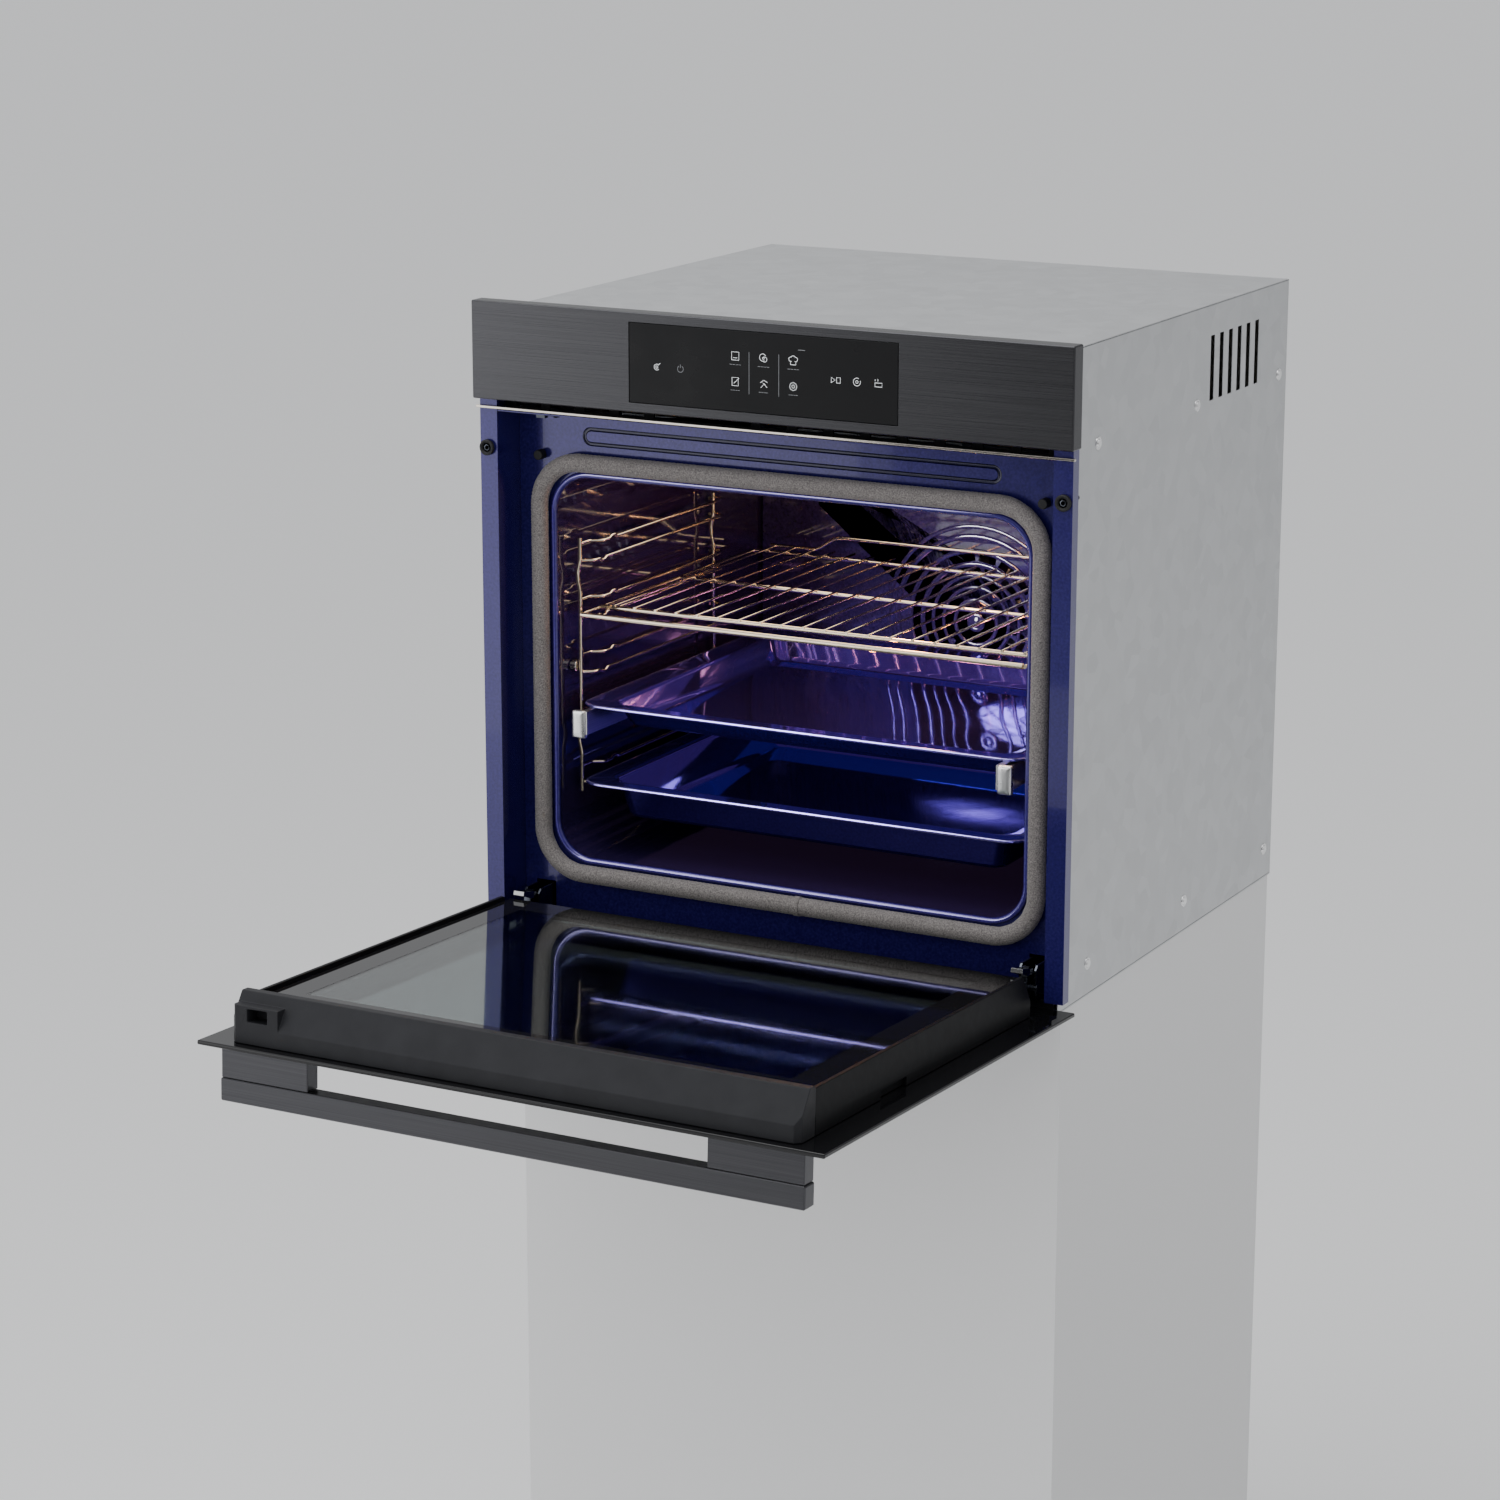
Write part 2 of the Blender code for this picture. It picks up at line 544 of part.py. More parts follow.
def blower():
    """Tangential cooling blower over the cavity, its scroll, motor and outlet duct."""
    at_y, at_z = BLOWER_AT
    half = BLOWER_HALF_W
    centre = (-half, at_y, at_z)
    rotor = [(y + at_y, z + at_z) for y, z in comb_outline(*BLOWER_RADII, BLOWER_BLADES, 1.6)]
    wheel = prism("cooling_fan", rotor, "X", -half, half, STEEL, origin=centre)
    weld(wheel, [prism("shaft", circle(at_y, at_z, 4.0, 10), "X", half - 10, half + 4.7,
                       STEEL, origin=centre)])
    scroll = [(-37.0, -18.0), (-37.0, -30.0), (33.0, -30.0), (36.0, 0.0), (24.0, 26.0), (0.0, 36.0),
              (-24.0, 26.0), (-32.0, 15.0), (-30.0, 14.0), (-22.0, 24.0), (0.0, 33.6), (22.2, 24.2),
              (33.5, 0.0), (30.8, -27.8), (-34.8, -27.8), (-34.8, -18.0)]
    prism("blower_scroll", [(at_y + y, at_z + z) for y, z in scroll], "X", -half - 3, half + 3, STEEL)
    motor = prism("blower_motor", circle(at_y, at_z, 24.0, 18), "X", half + 5, half + 50, DARK_STEEL)
    bevelled(motor, 3.0)
    duct = box("air_duct", (-DUCT_HALF_W, DUCT_HALF_W), (31.0, 334.0), DUCT_Z, STEEL)
    bore_x = (1 - DUCT_HALF_W, DUCT_HALF_W - 1)
    bore = box("bore", bore_x, (20.0, 345.0), (DUCT_Z[0] + 1, DUCT_Z[1] - 1), STEEL)
    carve(duct, [bore])


def heaters_and_lamp():
    """Concealed heaters above and below the liner, the lamp's lens and the probe."""
    half_run = [(60.0, 405.0), (60.0, 90.0), (100.0, 60.0), (140.0, 90.0), (140.0, 350.0), (165.0, 380.0),
                (190.0, 350.0), (190.0, 110.0), (160.0, 48.0)]
    run = [(-x, y) for x, y in half_run] + half_run[::-1]
    tube("top_heater", [(x, y, TOP_HEATER_Z) for x, y in run], HEATER_RADIUS, DARK_STEEL)
    floor_run = [(-40.0, 330.0), (-180.0, 330.0), (-180.0, 90.0)]
    floor_run += [(-x, y) for x, y in floor_run[::-1]]
    tube("bottom_heater", [(x, y, FLOOR_HEATER_Z) for x, y in floor_run], HEATER_RADIUS, DARK_STEEL)
    lens_z = (MOUTH_Z[1] - 6.5, MOUTH_Z[1] - GAP)
    lens = prism("lamp_lens", circle(*LAMP_AT, LAMP_RADIUS, 20), "Z", *lens_z, CLEAR)
    bevelled(lens, 2.0)
    probe_x, probe_z = PROBE_AT
    probe = [(probe_x, BAFFLE_Y - 0.5, probe_z), (probe_x, BAFFLE_Y - 35, probe_z)]
    tube("temperature_probe", probe, 2.4, STEEL, 8)


# ---- side racks, shelf, trays and rails -------------------------------------------------------
def jogged_post(y, jogs):
    """A post that steps outwards for a short way at each height in jogs."""
    points = [(POST_X, y, POST_Z[1])]
    for z in jogs:
        points += [(POST_X, y, z + 14), (POST_X + 2.4, y, z + 4)]
        points += [(POST_X + 2.4, y, z - 4), (POST_X, y, z - 14)]
    points.append((POST_X, y, POST_Z[0]))
    return points


def side_racks():
    """Chromed wire ladders: two posts and five pairs of guide wires on each side."""
    post = POST_X
    guide = GUIDE_X
    rack = tube("side_rack_right", jogged_post(FRONT_POST_Y, (335.0, 182.0)), POST_RADIUS, CHROME, 6)
    wires = [tube("post", jogged_post(REAR_POST_Y, (335.0,)), POST_RADIUS, CHROME, 6)]
    for level in range(LEVELS):
        upper = TOP_GUIDE_Z - LEVEL_PITCH * level
        for z in (upper, upper - GUIDE_DROP):
            path = [(post, FRONT_POST_Y, z), (guide, FRONT_POST_Y + GUIDE_LEAD, z),
                    (guide, REAR_POST_Y - GUIDE_LEAD, z), (post, REAR_POST_Y, z)]
            wires.append(tube("guide", path, GUIDE_RADIUS, CHROME, 6))
    weld(rack, wires)
    twin = rack.data.copy()
    twin.transform(Matrix.Diagonal((-1.0, 1.0, 1.0, 1.0)))
    twin.flip_normals()
    left = bpy.data.objects.new("side_rack_left", twin)
    bpy.context.scene.collection.objects.link(left)
    for side, word in ((-1, "left"), (1, "right")):
        knob = prism("rack_knob_" + word, circle(57.0, 250.0, 6.0, 14), "X",
                     *mirrored((234.0, MOUTH_HALF_W - GAP), side), CHROME)
        bevelled(knob, 0.8)


def slide_rail(side, word):
    box("rail_fixed_" + word, mirrored(SLIDE_FIXED_X, side), (SLIDE_Y[0] + 3.4, SLIDE_Y[1]),
        (190.0, 213.0), STEEL)
    rail = box("rail_slide_" + word, mirrored(SLIDE_X, side), SLIDE_Y, (192.5, 214.9), CHROME)
    tab = box("tab", mirrored(TAB_X, side), (SLIDE_Y[0] - 0.5, SLIDE_Y[0] + 3.0), (189.5, 214.6), CHROME)
    weld(rail, [tab])


def tray(name, rim_z, deep):
    """A pressed enamel tray: rim, raked walls and flat floor, one even skin."""
    mid_y = (TRAY_Y[0] + TRAY_Y[1]) / 2
    half_y = (TRAY_Y[1] - TRAY_Y[0]) / 2
    rake = 10.0
    outside = [(0.0, rim_z, 20.0), (RIM_WIDTH, rim_z, 14.0), (RIM_WIDTH + rake, rim_z - deep, 12.0)]
    inside = [(RIM_WIDTH + rake + 1.0, rim_z - deep + TRAY_SKIN, 11.0),
              (RIM_WIDTH + 1.0, rim_z + TRAY_SKIN, 13.0), (0.0, rim_z + TRAY_SKIN, 20.0)]
    bm = bmesh.new()
    rows = []
    for inset, z, radius in outside + inside:
        loop = rounded(-RIM_HALF_W + inset, RIM_HALF_W - inset, mid_y - half_y + inset,
                       mid_y + half_y - inset, radius, 4)
        rows.append([bm.verts.new((x, y, z)) for x, y in loop])
    count = len(rows[0])
    pairs = [(0, 1), (1, 2), (3, 4), (4, 5), (5, 0)]
    for a, b in pairs:
        for i in range(count):
            j = (i + 1) % count
            bm.faces.new((rows[a][i], rows[a][j], rows[b][j], rows[b][i]))
    bm.faces.new(rows[2])
    bm.faces.new(rows[3])
    finish_mesh(name, bm, ENAMEL)


def wire_rack():
    """Chromed shelf: frame bars, long wires and a raised guard at the back."""
    half = RIM_HALF_W - 1.8
    rack = tube("wire_rack", [(-half, RACK_Y[0], RACK_Z), (half, RACK_Y[0], RACK_Z)], 3.2, CHROME, 8)
    pieces = []
    for x in (-RACK_SIDE_X, RACK_SIDE_X):
        pieces.append(tube("side", [(x, y, RACK_Z) for y in RACK_Y], 1.8, CHROME))
    for y, radius, lift in RACK_BARS:
        pieces.append(tube("bar", [(-half, y, RACK_Z + lift), (half, y, RACK_Z + lift)], radius, CHROME))
    for i in range(RACK_WIRES):
        x = (i - (RACK_WIRES - 1) / 2) * RACK_PITCH
        pieces.append(tube("wire", [(x, y, RACK_Z + RACK_WIRE_LIFT) for y in RACK_WIRE_Y], 1.5, CHROME))
    end, foot, shoulder = GUARD_X
    low, high = (RACK_Z + lift for lift in GUARD_LIFT)
    right = [(shoulder, high), (foot, low), (end, low)]
    outline = [(-x, z) for x, z in right[::-1]] + right
    pieces.append(tube("guard", [(x, RACK_WIRE_Y[1], z) for x, z in outline], 2.0, CHROME))
    weld(rack, pieces)


# ---- hinges -----------------------------------------------------------------------------------
def hinge_body(side, word):
    """Fixed half of a hinge: a channel that stands out of the face and runs inside."""
    x = side * HINGE_X
    body = prism("hinge_body_" + word, [(0.6, 18.0), (4.0, 14.0), (112.0, 14.0), (112.0, 45.0), (4.5, 45.0),
                                        (0.6, 41.0)], "X", x - 8.4, x + 8.4, DARK_STEEL)
    channel = box("channel", (x - 6.4, x + 6.4), (-10.0, 108.0), (16.2, 60.0), DARK_STEEL)
    carve(body, [channel])
    weld(body, [prism("pin", circle(HINGE_Y, HINGE_Z, 3.1, 14), "X", x - 9.4, x + 9.4, CHROME)])


def hinge_arm(side, word):
    """Moving half of a hinge: a flat arm with an eye on the pin and an ear for the lock."""
    x = side * HINGE_X
    arm = prism("hinge_arm_" + word, [(-4.2, 92.0), (-4.2, 24.6), (-2.2, 19.6), (2.8, 17.6), (7.8, 19.6),
                                      (9.8, 24.6), (14.5, 27.0), (22.0, 27.0), (23.5, 30.5), (22.0, 34.0),
                                      (9.8, 36.0), (9.8, 92.0)], "X", x - 3.2, x + 3.2, DARK_STEEL)
    bore = prism("bore", circle(HINGE_Y, HINGE_Z, 3.4, 14), "X", x - 20, x + 20, DARK_STEEL)
    carve(arm, [bore])
    return weld(arm, [prism("stud", circle(*LOCK_PIVOT, 1.3, 12), "X", x - 6.2, x + 6.2, CHROME)])


def hinge_lock(side, word):
    """The bright folding clip that holds a hinge open for taking the door off."""
    x = side * HINGE_X
    y, z = LOCK_PIVOT
    outline = [(y - 2.6, z - 2.6), (y + 2.6, z - 2.6), (y + 4.4, z + 8), (y + 6.6, z + 19.5),
               (y + 2.6, z + 20.5), (y - 2.6, z + 6)]
    cheeks = prism("hinge_lock_" + word, outline,
                   "X", x - 5.6, x + 5.6, CHROME, origin=(x, y, z))
    slot = prism("slot", rectangle(y - 12, y + 12, z - 12, z + 17.0), "X", x - 3.9, x + 3.9, CHROME)
    eye = prism("eye", circle(y, z, 1.6, 12), "X", x - 20, x + 20, CHROME)
    return carve(cheeks, [slot, eye])


# ---- door -----------------------------------------------------------------------------------
def door_rail(side, word):
    """Side rail of the door: upright section with a raked foot."""
    section = [(RAIL_X[0], PLATE_BACK_Y + GAP), (RAIL_X[2], PLATE_BACK_Y + GAP), (RAIL_X[2], RAIL_SHOULDER_Y),
               (RAIL_X[1], RAIL_TOP_Y), (RAIL_X[0], RAIL_TOP_Y), (RAIL_X[0], 4.0)]
    bm = bmesh.new()
    foot = [bm.verts.new((side * x, y, RAIL_Z[0] + max(0.0, (y - 4.0) * 10 / 18))) for x, y in section]
    head = [bm.verts.new((side * x, y, RAIL_Z[1])) for x, y in section]
    bm.faces.new(foot)
    bm.faces.new(list(reversed(head)))
    for i in range(len(section)):
        j = (i + 1) % len(section)
        bm.faces.new((foot[i], head[i], head[j], foot[j]))
    rail = finish_mesh("door_rail_" + word, bm, PLASTIC)
    vent = box("vent", mirrored((RAIL_X[0] + 4.0, RAIL_X[2] + 5), side), (PLATE_BACK_Y - 5, -8.0),
               (299.0, 346.0), PLASTIC)
    return carve(rail, [vent])


def door_cap():
    """Top member of the door frame, with the latch socket at its left end."""
    section = [(PLATE_BACK_Y + GAP, RAIL_Z[1] + GAP), (PLATE_BACK_Y + GAP, CAP_TOP_Z),
               (RAIL_SHOULDER_Y, CAP_TOP_Z), CAP_RIDGE, (CAP_RIDGE[0], RAIL_Z[1] + 2.0),
               (CAP_RIDGE[0] - 3.0, RAIL_Z[1] + GAP)]
    cap = prism("door_cap", section, "X", -RAIL_X[2], RAIL_X[2], PLASTIC)
    block = box("block", (-268.0, -222.0), (-12.0, 17.5), (468.0, CAP_TOP_Z), PLASTIC)
    weld(cap, [block])
    socket = box("socket", (-253.0, -233.0), (4.0, 15.0), (474.0, CAP_TOP_Z + 5), PLASTIC)
    corners = []
    for side in (-1, 1):
        edge = side * RAIL_X[2]
        corners.append(prism("corner", [(edge + side * 5, 484.0 - 5), (edge + side * 5, CAP_TOP_Z + 5),
                                        (edge - side * 10, CAP_TOP_Z + 5)], "Y", -40.0, 40.0, PLASTIC))
    return carve(cap, [socket, *corners])


def door():
    plate = box("door_outer_glass", (-FRONT_HALF_W, FRONT_HALF_W), (FRONT_Y, PLATE_BACK_Y), PLATE_Z, GLASS)
    bevelled(plate, 0.8)
    parts = [plate, door_cap()]
    for side, word in ((-1, "left"), (1, "right")):
        parts += [door_rail(side, word), hinge_arm(side, word), hinge_lock(side, word)]
        post = box("handle_post_" + word, mirrored(POST_BLOCK_X, side), (HANDLE_Y[1] + GAP, FRONT_Y - GAP),
                   (HANDLE_Z[0] + 0.5, HANDLE_Z[1] - 0.7), GRAPHITE)
        parts.append(bevelled(post, 0.6))
    parts.append(box("door_inner_glass", (-262.0, 262.0), INNER_GLASS_Y, (52.3, RAIL_Z[1] - 0.2), CLEAR))
    parts.append(box("door_middle_glass", (-245.0, 245.0), (1.0, 4.0), (60.4, 455.0), CLEAR))
    parts.append(box("door_sill", (-243.0, 243.0), (PLATE_BACK_Y + GAP, INNER_GLASS_Y[0] - GAP),
                     (53.0, 60.0), PLASTIC))
    bar = box("handle_bar", (-278.0, 278.0), HANDLE_Y, HANDLE_Z, GRAPHITE)
    parts.append(bevelled(bar, 1.2))

    axis = bpy.data.objects.new("door_hinge_line", None)
    axis.location = (0.0, HINGE_Y * MM, HINGE_Z * MM)
    bpy.context.scene.collection.objects.link(axis)
    bpy.context.view_layer.update()
    for piece in parts:
        piece.parent = axis
        piece.matrix_parent_inverse = Matrix.Translation(-axis.location)
    axis.rotation_euler = (DOOR_OPEN, 0.0, 0.0)


def main():
    for old in list(bpy.data.objects):
        bpy.data.objects.remove(old, do_unlink=True)
    front_frame()
    control_panel()
    display()
    trim_and_vent()
    screws_and_buffers()
    gasket()
    latch()
    housing()
    cavity()
    rear_baffle()
    fans()
    heaters_and_lamp()
    side_racks()
    for side, word in ((-1, "left"), (1, "right")):
        slide_rail(side, word)
        hinge_body(side, word)
    tray("upper_tray", UPPER_TRAY_Z, UPPER_TRAY_DEEP)
    tray("lower_tray", LOWER_TRAY_Z, LOWER_TRAY_DEEP)
    wire_rack()
    door()


main()
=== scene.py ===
"""Looks for the built-in wall oven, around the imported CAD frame. Lengths are in metres."""
import json
import math

import bmesh
import bpy
from mathutils import Euler, Matrix, Vector


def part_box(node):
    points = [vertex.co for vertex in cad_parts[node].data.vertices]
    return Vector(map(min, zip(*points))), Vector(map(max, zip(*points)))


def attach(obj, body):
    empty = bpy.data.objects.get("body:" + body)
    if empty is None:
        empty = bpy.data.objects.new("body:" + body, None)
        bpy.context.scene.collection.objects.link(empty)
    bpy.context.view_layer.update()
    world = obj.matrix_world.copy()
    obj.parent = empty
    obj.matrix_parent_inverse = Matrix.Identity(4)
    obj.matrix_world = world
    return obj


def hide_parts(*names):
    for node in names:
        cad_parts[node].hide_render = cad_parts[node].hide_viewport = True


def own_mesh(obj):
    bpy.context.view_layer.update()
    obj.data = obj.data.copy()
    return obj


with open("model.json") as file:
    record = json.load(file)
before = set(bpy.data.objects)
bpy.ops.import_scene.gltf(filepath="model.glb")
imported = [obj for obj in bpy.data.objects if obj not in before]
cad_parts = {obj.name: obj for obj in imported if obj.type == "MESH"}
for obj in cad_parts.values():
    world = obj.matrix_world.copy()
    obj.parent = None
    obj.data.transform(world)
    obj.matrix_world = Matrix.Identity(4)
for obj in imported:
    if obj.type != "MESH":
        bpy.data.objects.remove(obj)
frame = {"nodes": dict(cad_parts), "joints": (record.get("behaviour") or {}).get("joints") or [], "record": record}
NODES = frame["nodes"]
JOINTS = {joint["name"]: joint for joint in frame["joints"]}
BODY_OF = {node: body for body, nodes in frame["record"]["behaviour"]["bodies"].items() for node in nodes}
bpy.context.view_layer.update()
MM = 0.001


# ---- node helpers ---------------------------------------------------------------------
def new_material(name, colour, roughness, metallic=0.0, **sockets):
    made = bpy.data.materials.new(name)
    made.use_nodes = True
    shader = made.node_tree.nodes["Principled BSDF"]
    shader.inputs["Base Color"].default_value = (*colour, 1.0)
    shader.inputs["Roughness"].default_value = roughness
    shader.inputs["Metallic"].default_value = metallic
    for socket, value in sockets.items():
        shader.inputs[socket.replace("_", " ")].default_value = value
    made.diffuse_color = (*colour, 1.0)
    return made


def shaded(colour, share):
    return tuple(share * part for part in colour)


class Nodes:
    """A short way to add texture nodes to one material."""

    def __init__(self, made):
        self.tree = made.node_tree
        self.shader = self.tree.nodes["Principled BSDF"]
        self.coords = self.tree.nodes.new("ShaderNodeTexCoord").outputs["Object"]

    def add(self, kind, **settings):
        node = self.tree.nodes.new(kind)
        for key, value in settings.items():
            setattr(node, key, value)
        return node

    def link(self, source, target):
        self.tree.links.new(source, target)

    def stretched(self, scale):
        mapping = self.add("ShaderNodeMapping")
        mapping.inputs["Scale"].default_value = scale
        self.link(self.coords, mapping.inputs["Vector"])
        return mapping.outputs["Vector"]

    def noise(self, scale, detail=3.0, stretch=None):
        node = self.add("ShaderNodeTexNoise")
        node.inputs["Scale"].default_value = scale
        node.inputs["Detail"].default_value = detail
        self.link(self.stretched(stretch) if stretch else self.coords, node.inputs["Vector"])
        return node.outputs["Fac"]

    def ramp(self, source, stops):
        node = self.add("ShaderNodeValToRGB")
        elements = node.color_ramp.elements
        while len(elements) < len(stops):
            elements.new(0.5)
        for element, (place, colour) in zip(elements, stops):
            element.position = place
            element.color = (*colour, 1.0)
        self.link(source, node.inputs["Fac"])
        return node.outputs["Color"]

    def spread(self, source, low, high):
        node = self.add("ShaderNodeMapRange")
        node.inputs["To Min"].default_value = low
        node.inputs["To Max"].default_value = high
        self.link(source, node.inputs["Value"])
        return node.outputs["Result"]

    def bump(self, height, strength, distance):
        node = self.add("ShaderNodeBump")
        node.inputs["Strength"].default_value = strength
        node.inputs["Distance"].default_value = distance
        self.link(height, node.inputs["Height"])
        previous = self.shader.inputs["Normal"]
        if previous.is_linked:
            self.link(previous.links[0].from_socket, node.inputs["Normal"])
        self.link(node.outputs["Normal"], previous)

    def colour(self, source):
        self.link(source, self.shader.inputs["Base Color"])

    def roughness(self, source):
        self.link(source, self.shader.inputs["Roughness"])


# ---- materials --------------------------------------------------------------------------
def enamel(name, colour, bright, roughness, metallic, waves=0.05, specks=0.0, coat=0.6, tint=(1.0, 1.0, 1.0)):
    """Vitreous enamel: deep colour, a fine mottle, pale specks, orange peel and a clear coat."""
    made = new_material(name, colour, roughness, metallic, Coat_Weight=coat, Coat_Roughness=0.03, IOR=1.55,
                        Specular_Tint=(*tint, 1.0))
    nodes = Nodes(made)
    mottle = nodes.ramp(nodes.noise(420.0, 4.0), ((0.35, colour), (0.75, bright)))
    if specks:
        cells = nodes.add("ShaderNodeTexVoronoi")
        cells.inputs["Scale"].default_value = 190.0
        nodes.link(nodes.coords, cells.inputs["Vector"])
        speck = nodes.ramp(cells.outputs["Distance"], ((0.03, (1, 1, 1)), (0.055, (0, 0, 0))))
        mix = nodes.add("ShaderNodeMix", data_type="RGBA")
        nodes.link(speck, mix.inputs["Factor"])
        nodes.link(mottle, mix.inputs["A"])
        mix.inputs["B"].default_value = (*(min(1.0, c + specks) for c in bright), 1.0)
        mottle = mix.outputs["Result"]
    nodes.colour(mottle)
    nodes.roughness(nodes.spread(nodes.noise(60.0), roughness * 0.8, roughness * 1.3))
    nodes.bump(nodes.noise(260.0, 2.0), waves, 0.0004)
    nodes.bump(nodes.noise(22.0, 1.0), waves, 0.004)
    return made


def brushed(name, colour, bright, roughness, along, metallic=0.85):
    """Metal with a fine grain; the grain runs along the axis with the smallest scale."""
    made = new_material(name, colour, roughness, metallic)
    nodes = Nodes(made)
    grain = nodes.noise(1.4, 6.0, along)
    nodes.colour(nodes.ramp(grain, ((0.3, colour), (0.7, bright))))
    nodes.roughness(nodes.spread(grain, roughness * 0.75, roughness * 1.35))
    nodes.bump(grain, 0.06, 0.0003)
    return made


def polished(name, colour, roughness):
    """Plated or polished metal with faint smears in its gloss."""
    made = new_material(name, colour, roughness, 1.0)
    nodes = Nodes(made)
    nodes.roughness(nodes.spread(nodes.noise(90.0, 4.0), roughness * 0.6, roughness * 1.9))
    nodes.colour(nodes.ramp(nodes.noise(36.0), ((0.3, shaded(colour, 0.86)), (0.7, colour))))
    return made


def moulded(name, colour, roughness, grain=900.0, strength=0.12):
    """Moulded plastic or rubber with a fine spark-eroded grain."""
    made = new_material(name, colour, roughness)
    nodes = Nodes(made)
    nodes.roughness(nodes.spread(nodes.noise(130.0, 4.0), roughness * 0.85, roughness * 1.2))
    nodes.colour(nodes.ramp(nodes.noise(45.0), ((0.3, shaded(colour, 0.8)), (0.7, colour))))
    nodes.bump(nodes.noise(grain, 2.0), strength, 0.0002)
    return made


def woven(name):
    """Glass-fibre sleeve: yarn in two warm greys, with a soft sheen."""
    dark, pale = (0.082, 0.074, 0.072), (0.33, 0.302, 0.288)
    made = new_material(name, (0.12, 0.11, 0.10), 0.75, Sheen_Weight=0.25, Sheen_Roughness=0.5)
    nodes = Nodes(made)
    nodes.colour(nodes.ramp(nodes.noise(900.0, 3.0), ((0.3, dark), (0.72, pale))))
    nodes.bump(nodes.noise(1500.0, 2.0), 0.5, 0.0004)
    return made


def zinc(name, colour):
    """Zinc-coated sheet with its large, soft spangle."""
    made = new_material(name, colour, 0.42, 0.75)
    nodes = Nodes(made)
    cells = nodes.add("ShaderNodeTexVoronoi")
    cells.inputs["Scale"].default_value = 55.0
    nodes.link(nodes.coords, cells.inputs["Vector"])
    nodes.colour(nodes.ramp(cells.outputs["Color"], ((0.0, shaded(colour, 0.9)), (1.0, colour))))
    nodes.roughness(nodes.spread(nodes.noise(40.0), 0.34, 0.5))
    return made


def wool(name):
    """Mineral wool: coarse, matt and clumped."""
    made = new_material(name, (0.55, 0.47, 0.28), 1.0)
    nodes = Nodes(made)
    nodes.colour(nodes.ramp(nodes.noise(220.0, 8.0), ((0.3, (0.35, 0.29, 0.16)), (0.7, (0.75, 0.68, 0.45)))))
    nodes.bump(nodes.noise(300.0, 8.0), 0.8, 0.003)
    return made


def glazing(name, tint, clear=0.0, roughness=0.03):
    """Glass, from opaque (0) to clear (1), with a faintly uneven gloss."""
    made = new_material(name, tint, roughness, Transmission_Weight=clear, IOR=1.5)
    nodes = Nodes(made)
    nodes.roughness(nodes.spread(nodes.noise(30.0, 3.0), roughness * 0.5, roughness * 1.6))
    return made


def glowing(name, colour, strength):
    return new_material(name, colour, 0.4, Emission_Color=(*colour, 1.0), Emission_Strength=strength)


GRAIN_ALONG_X = (5.0, 900.0, 2600.0)
GRAIN_ALONG_Y = (160.0, 2.0, 900.0)

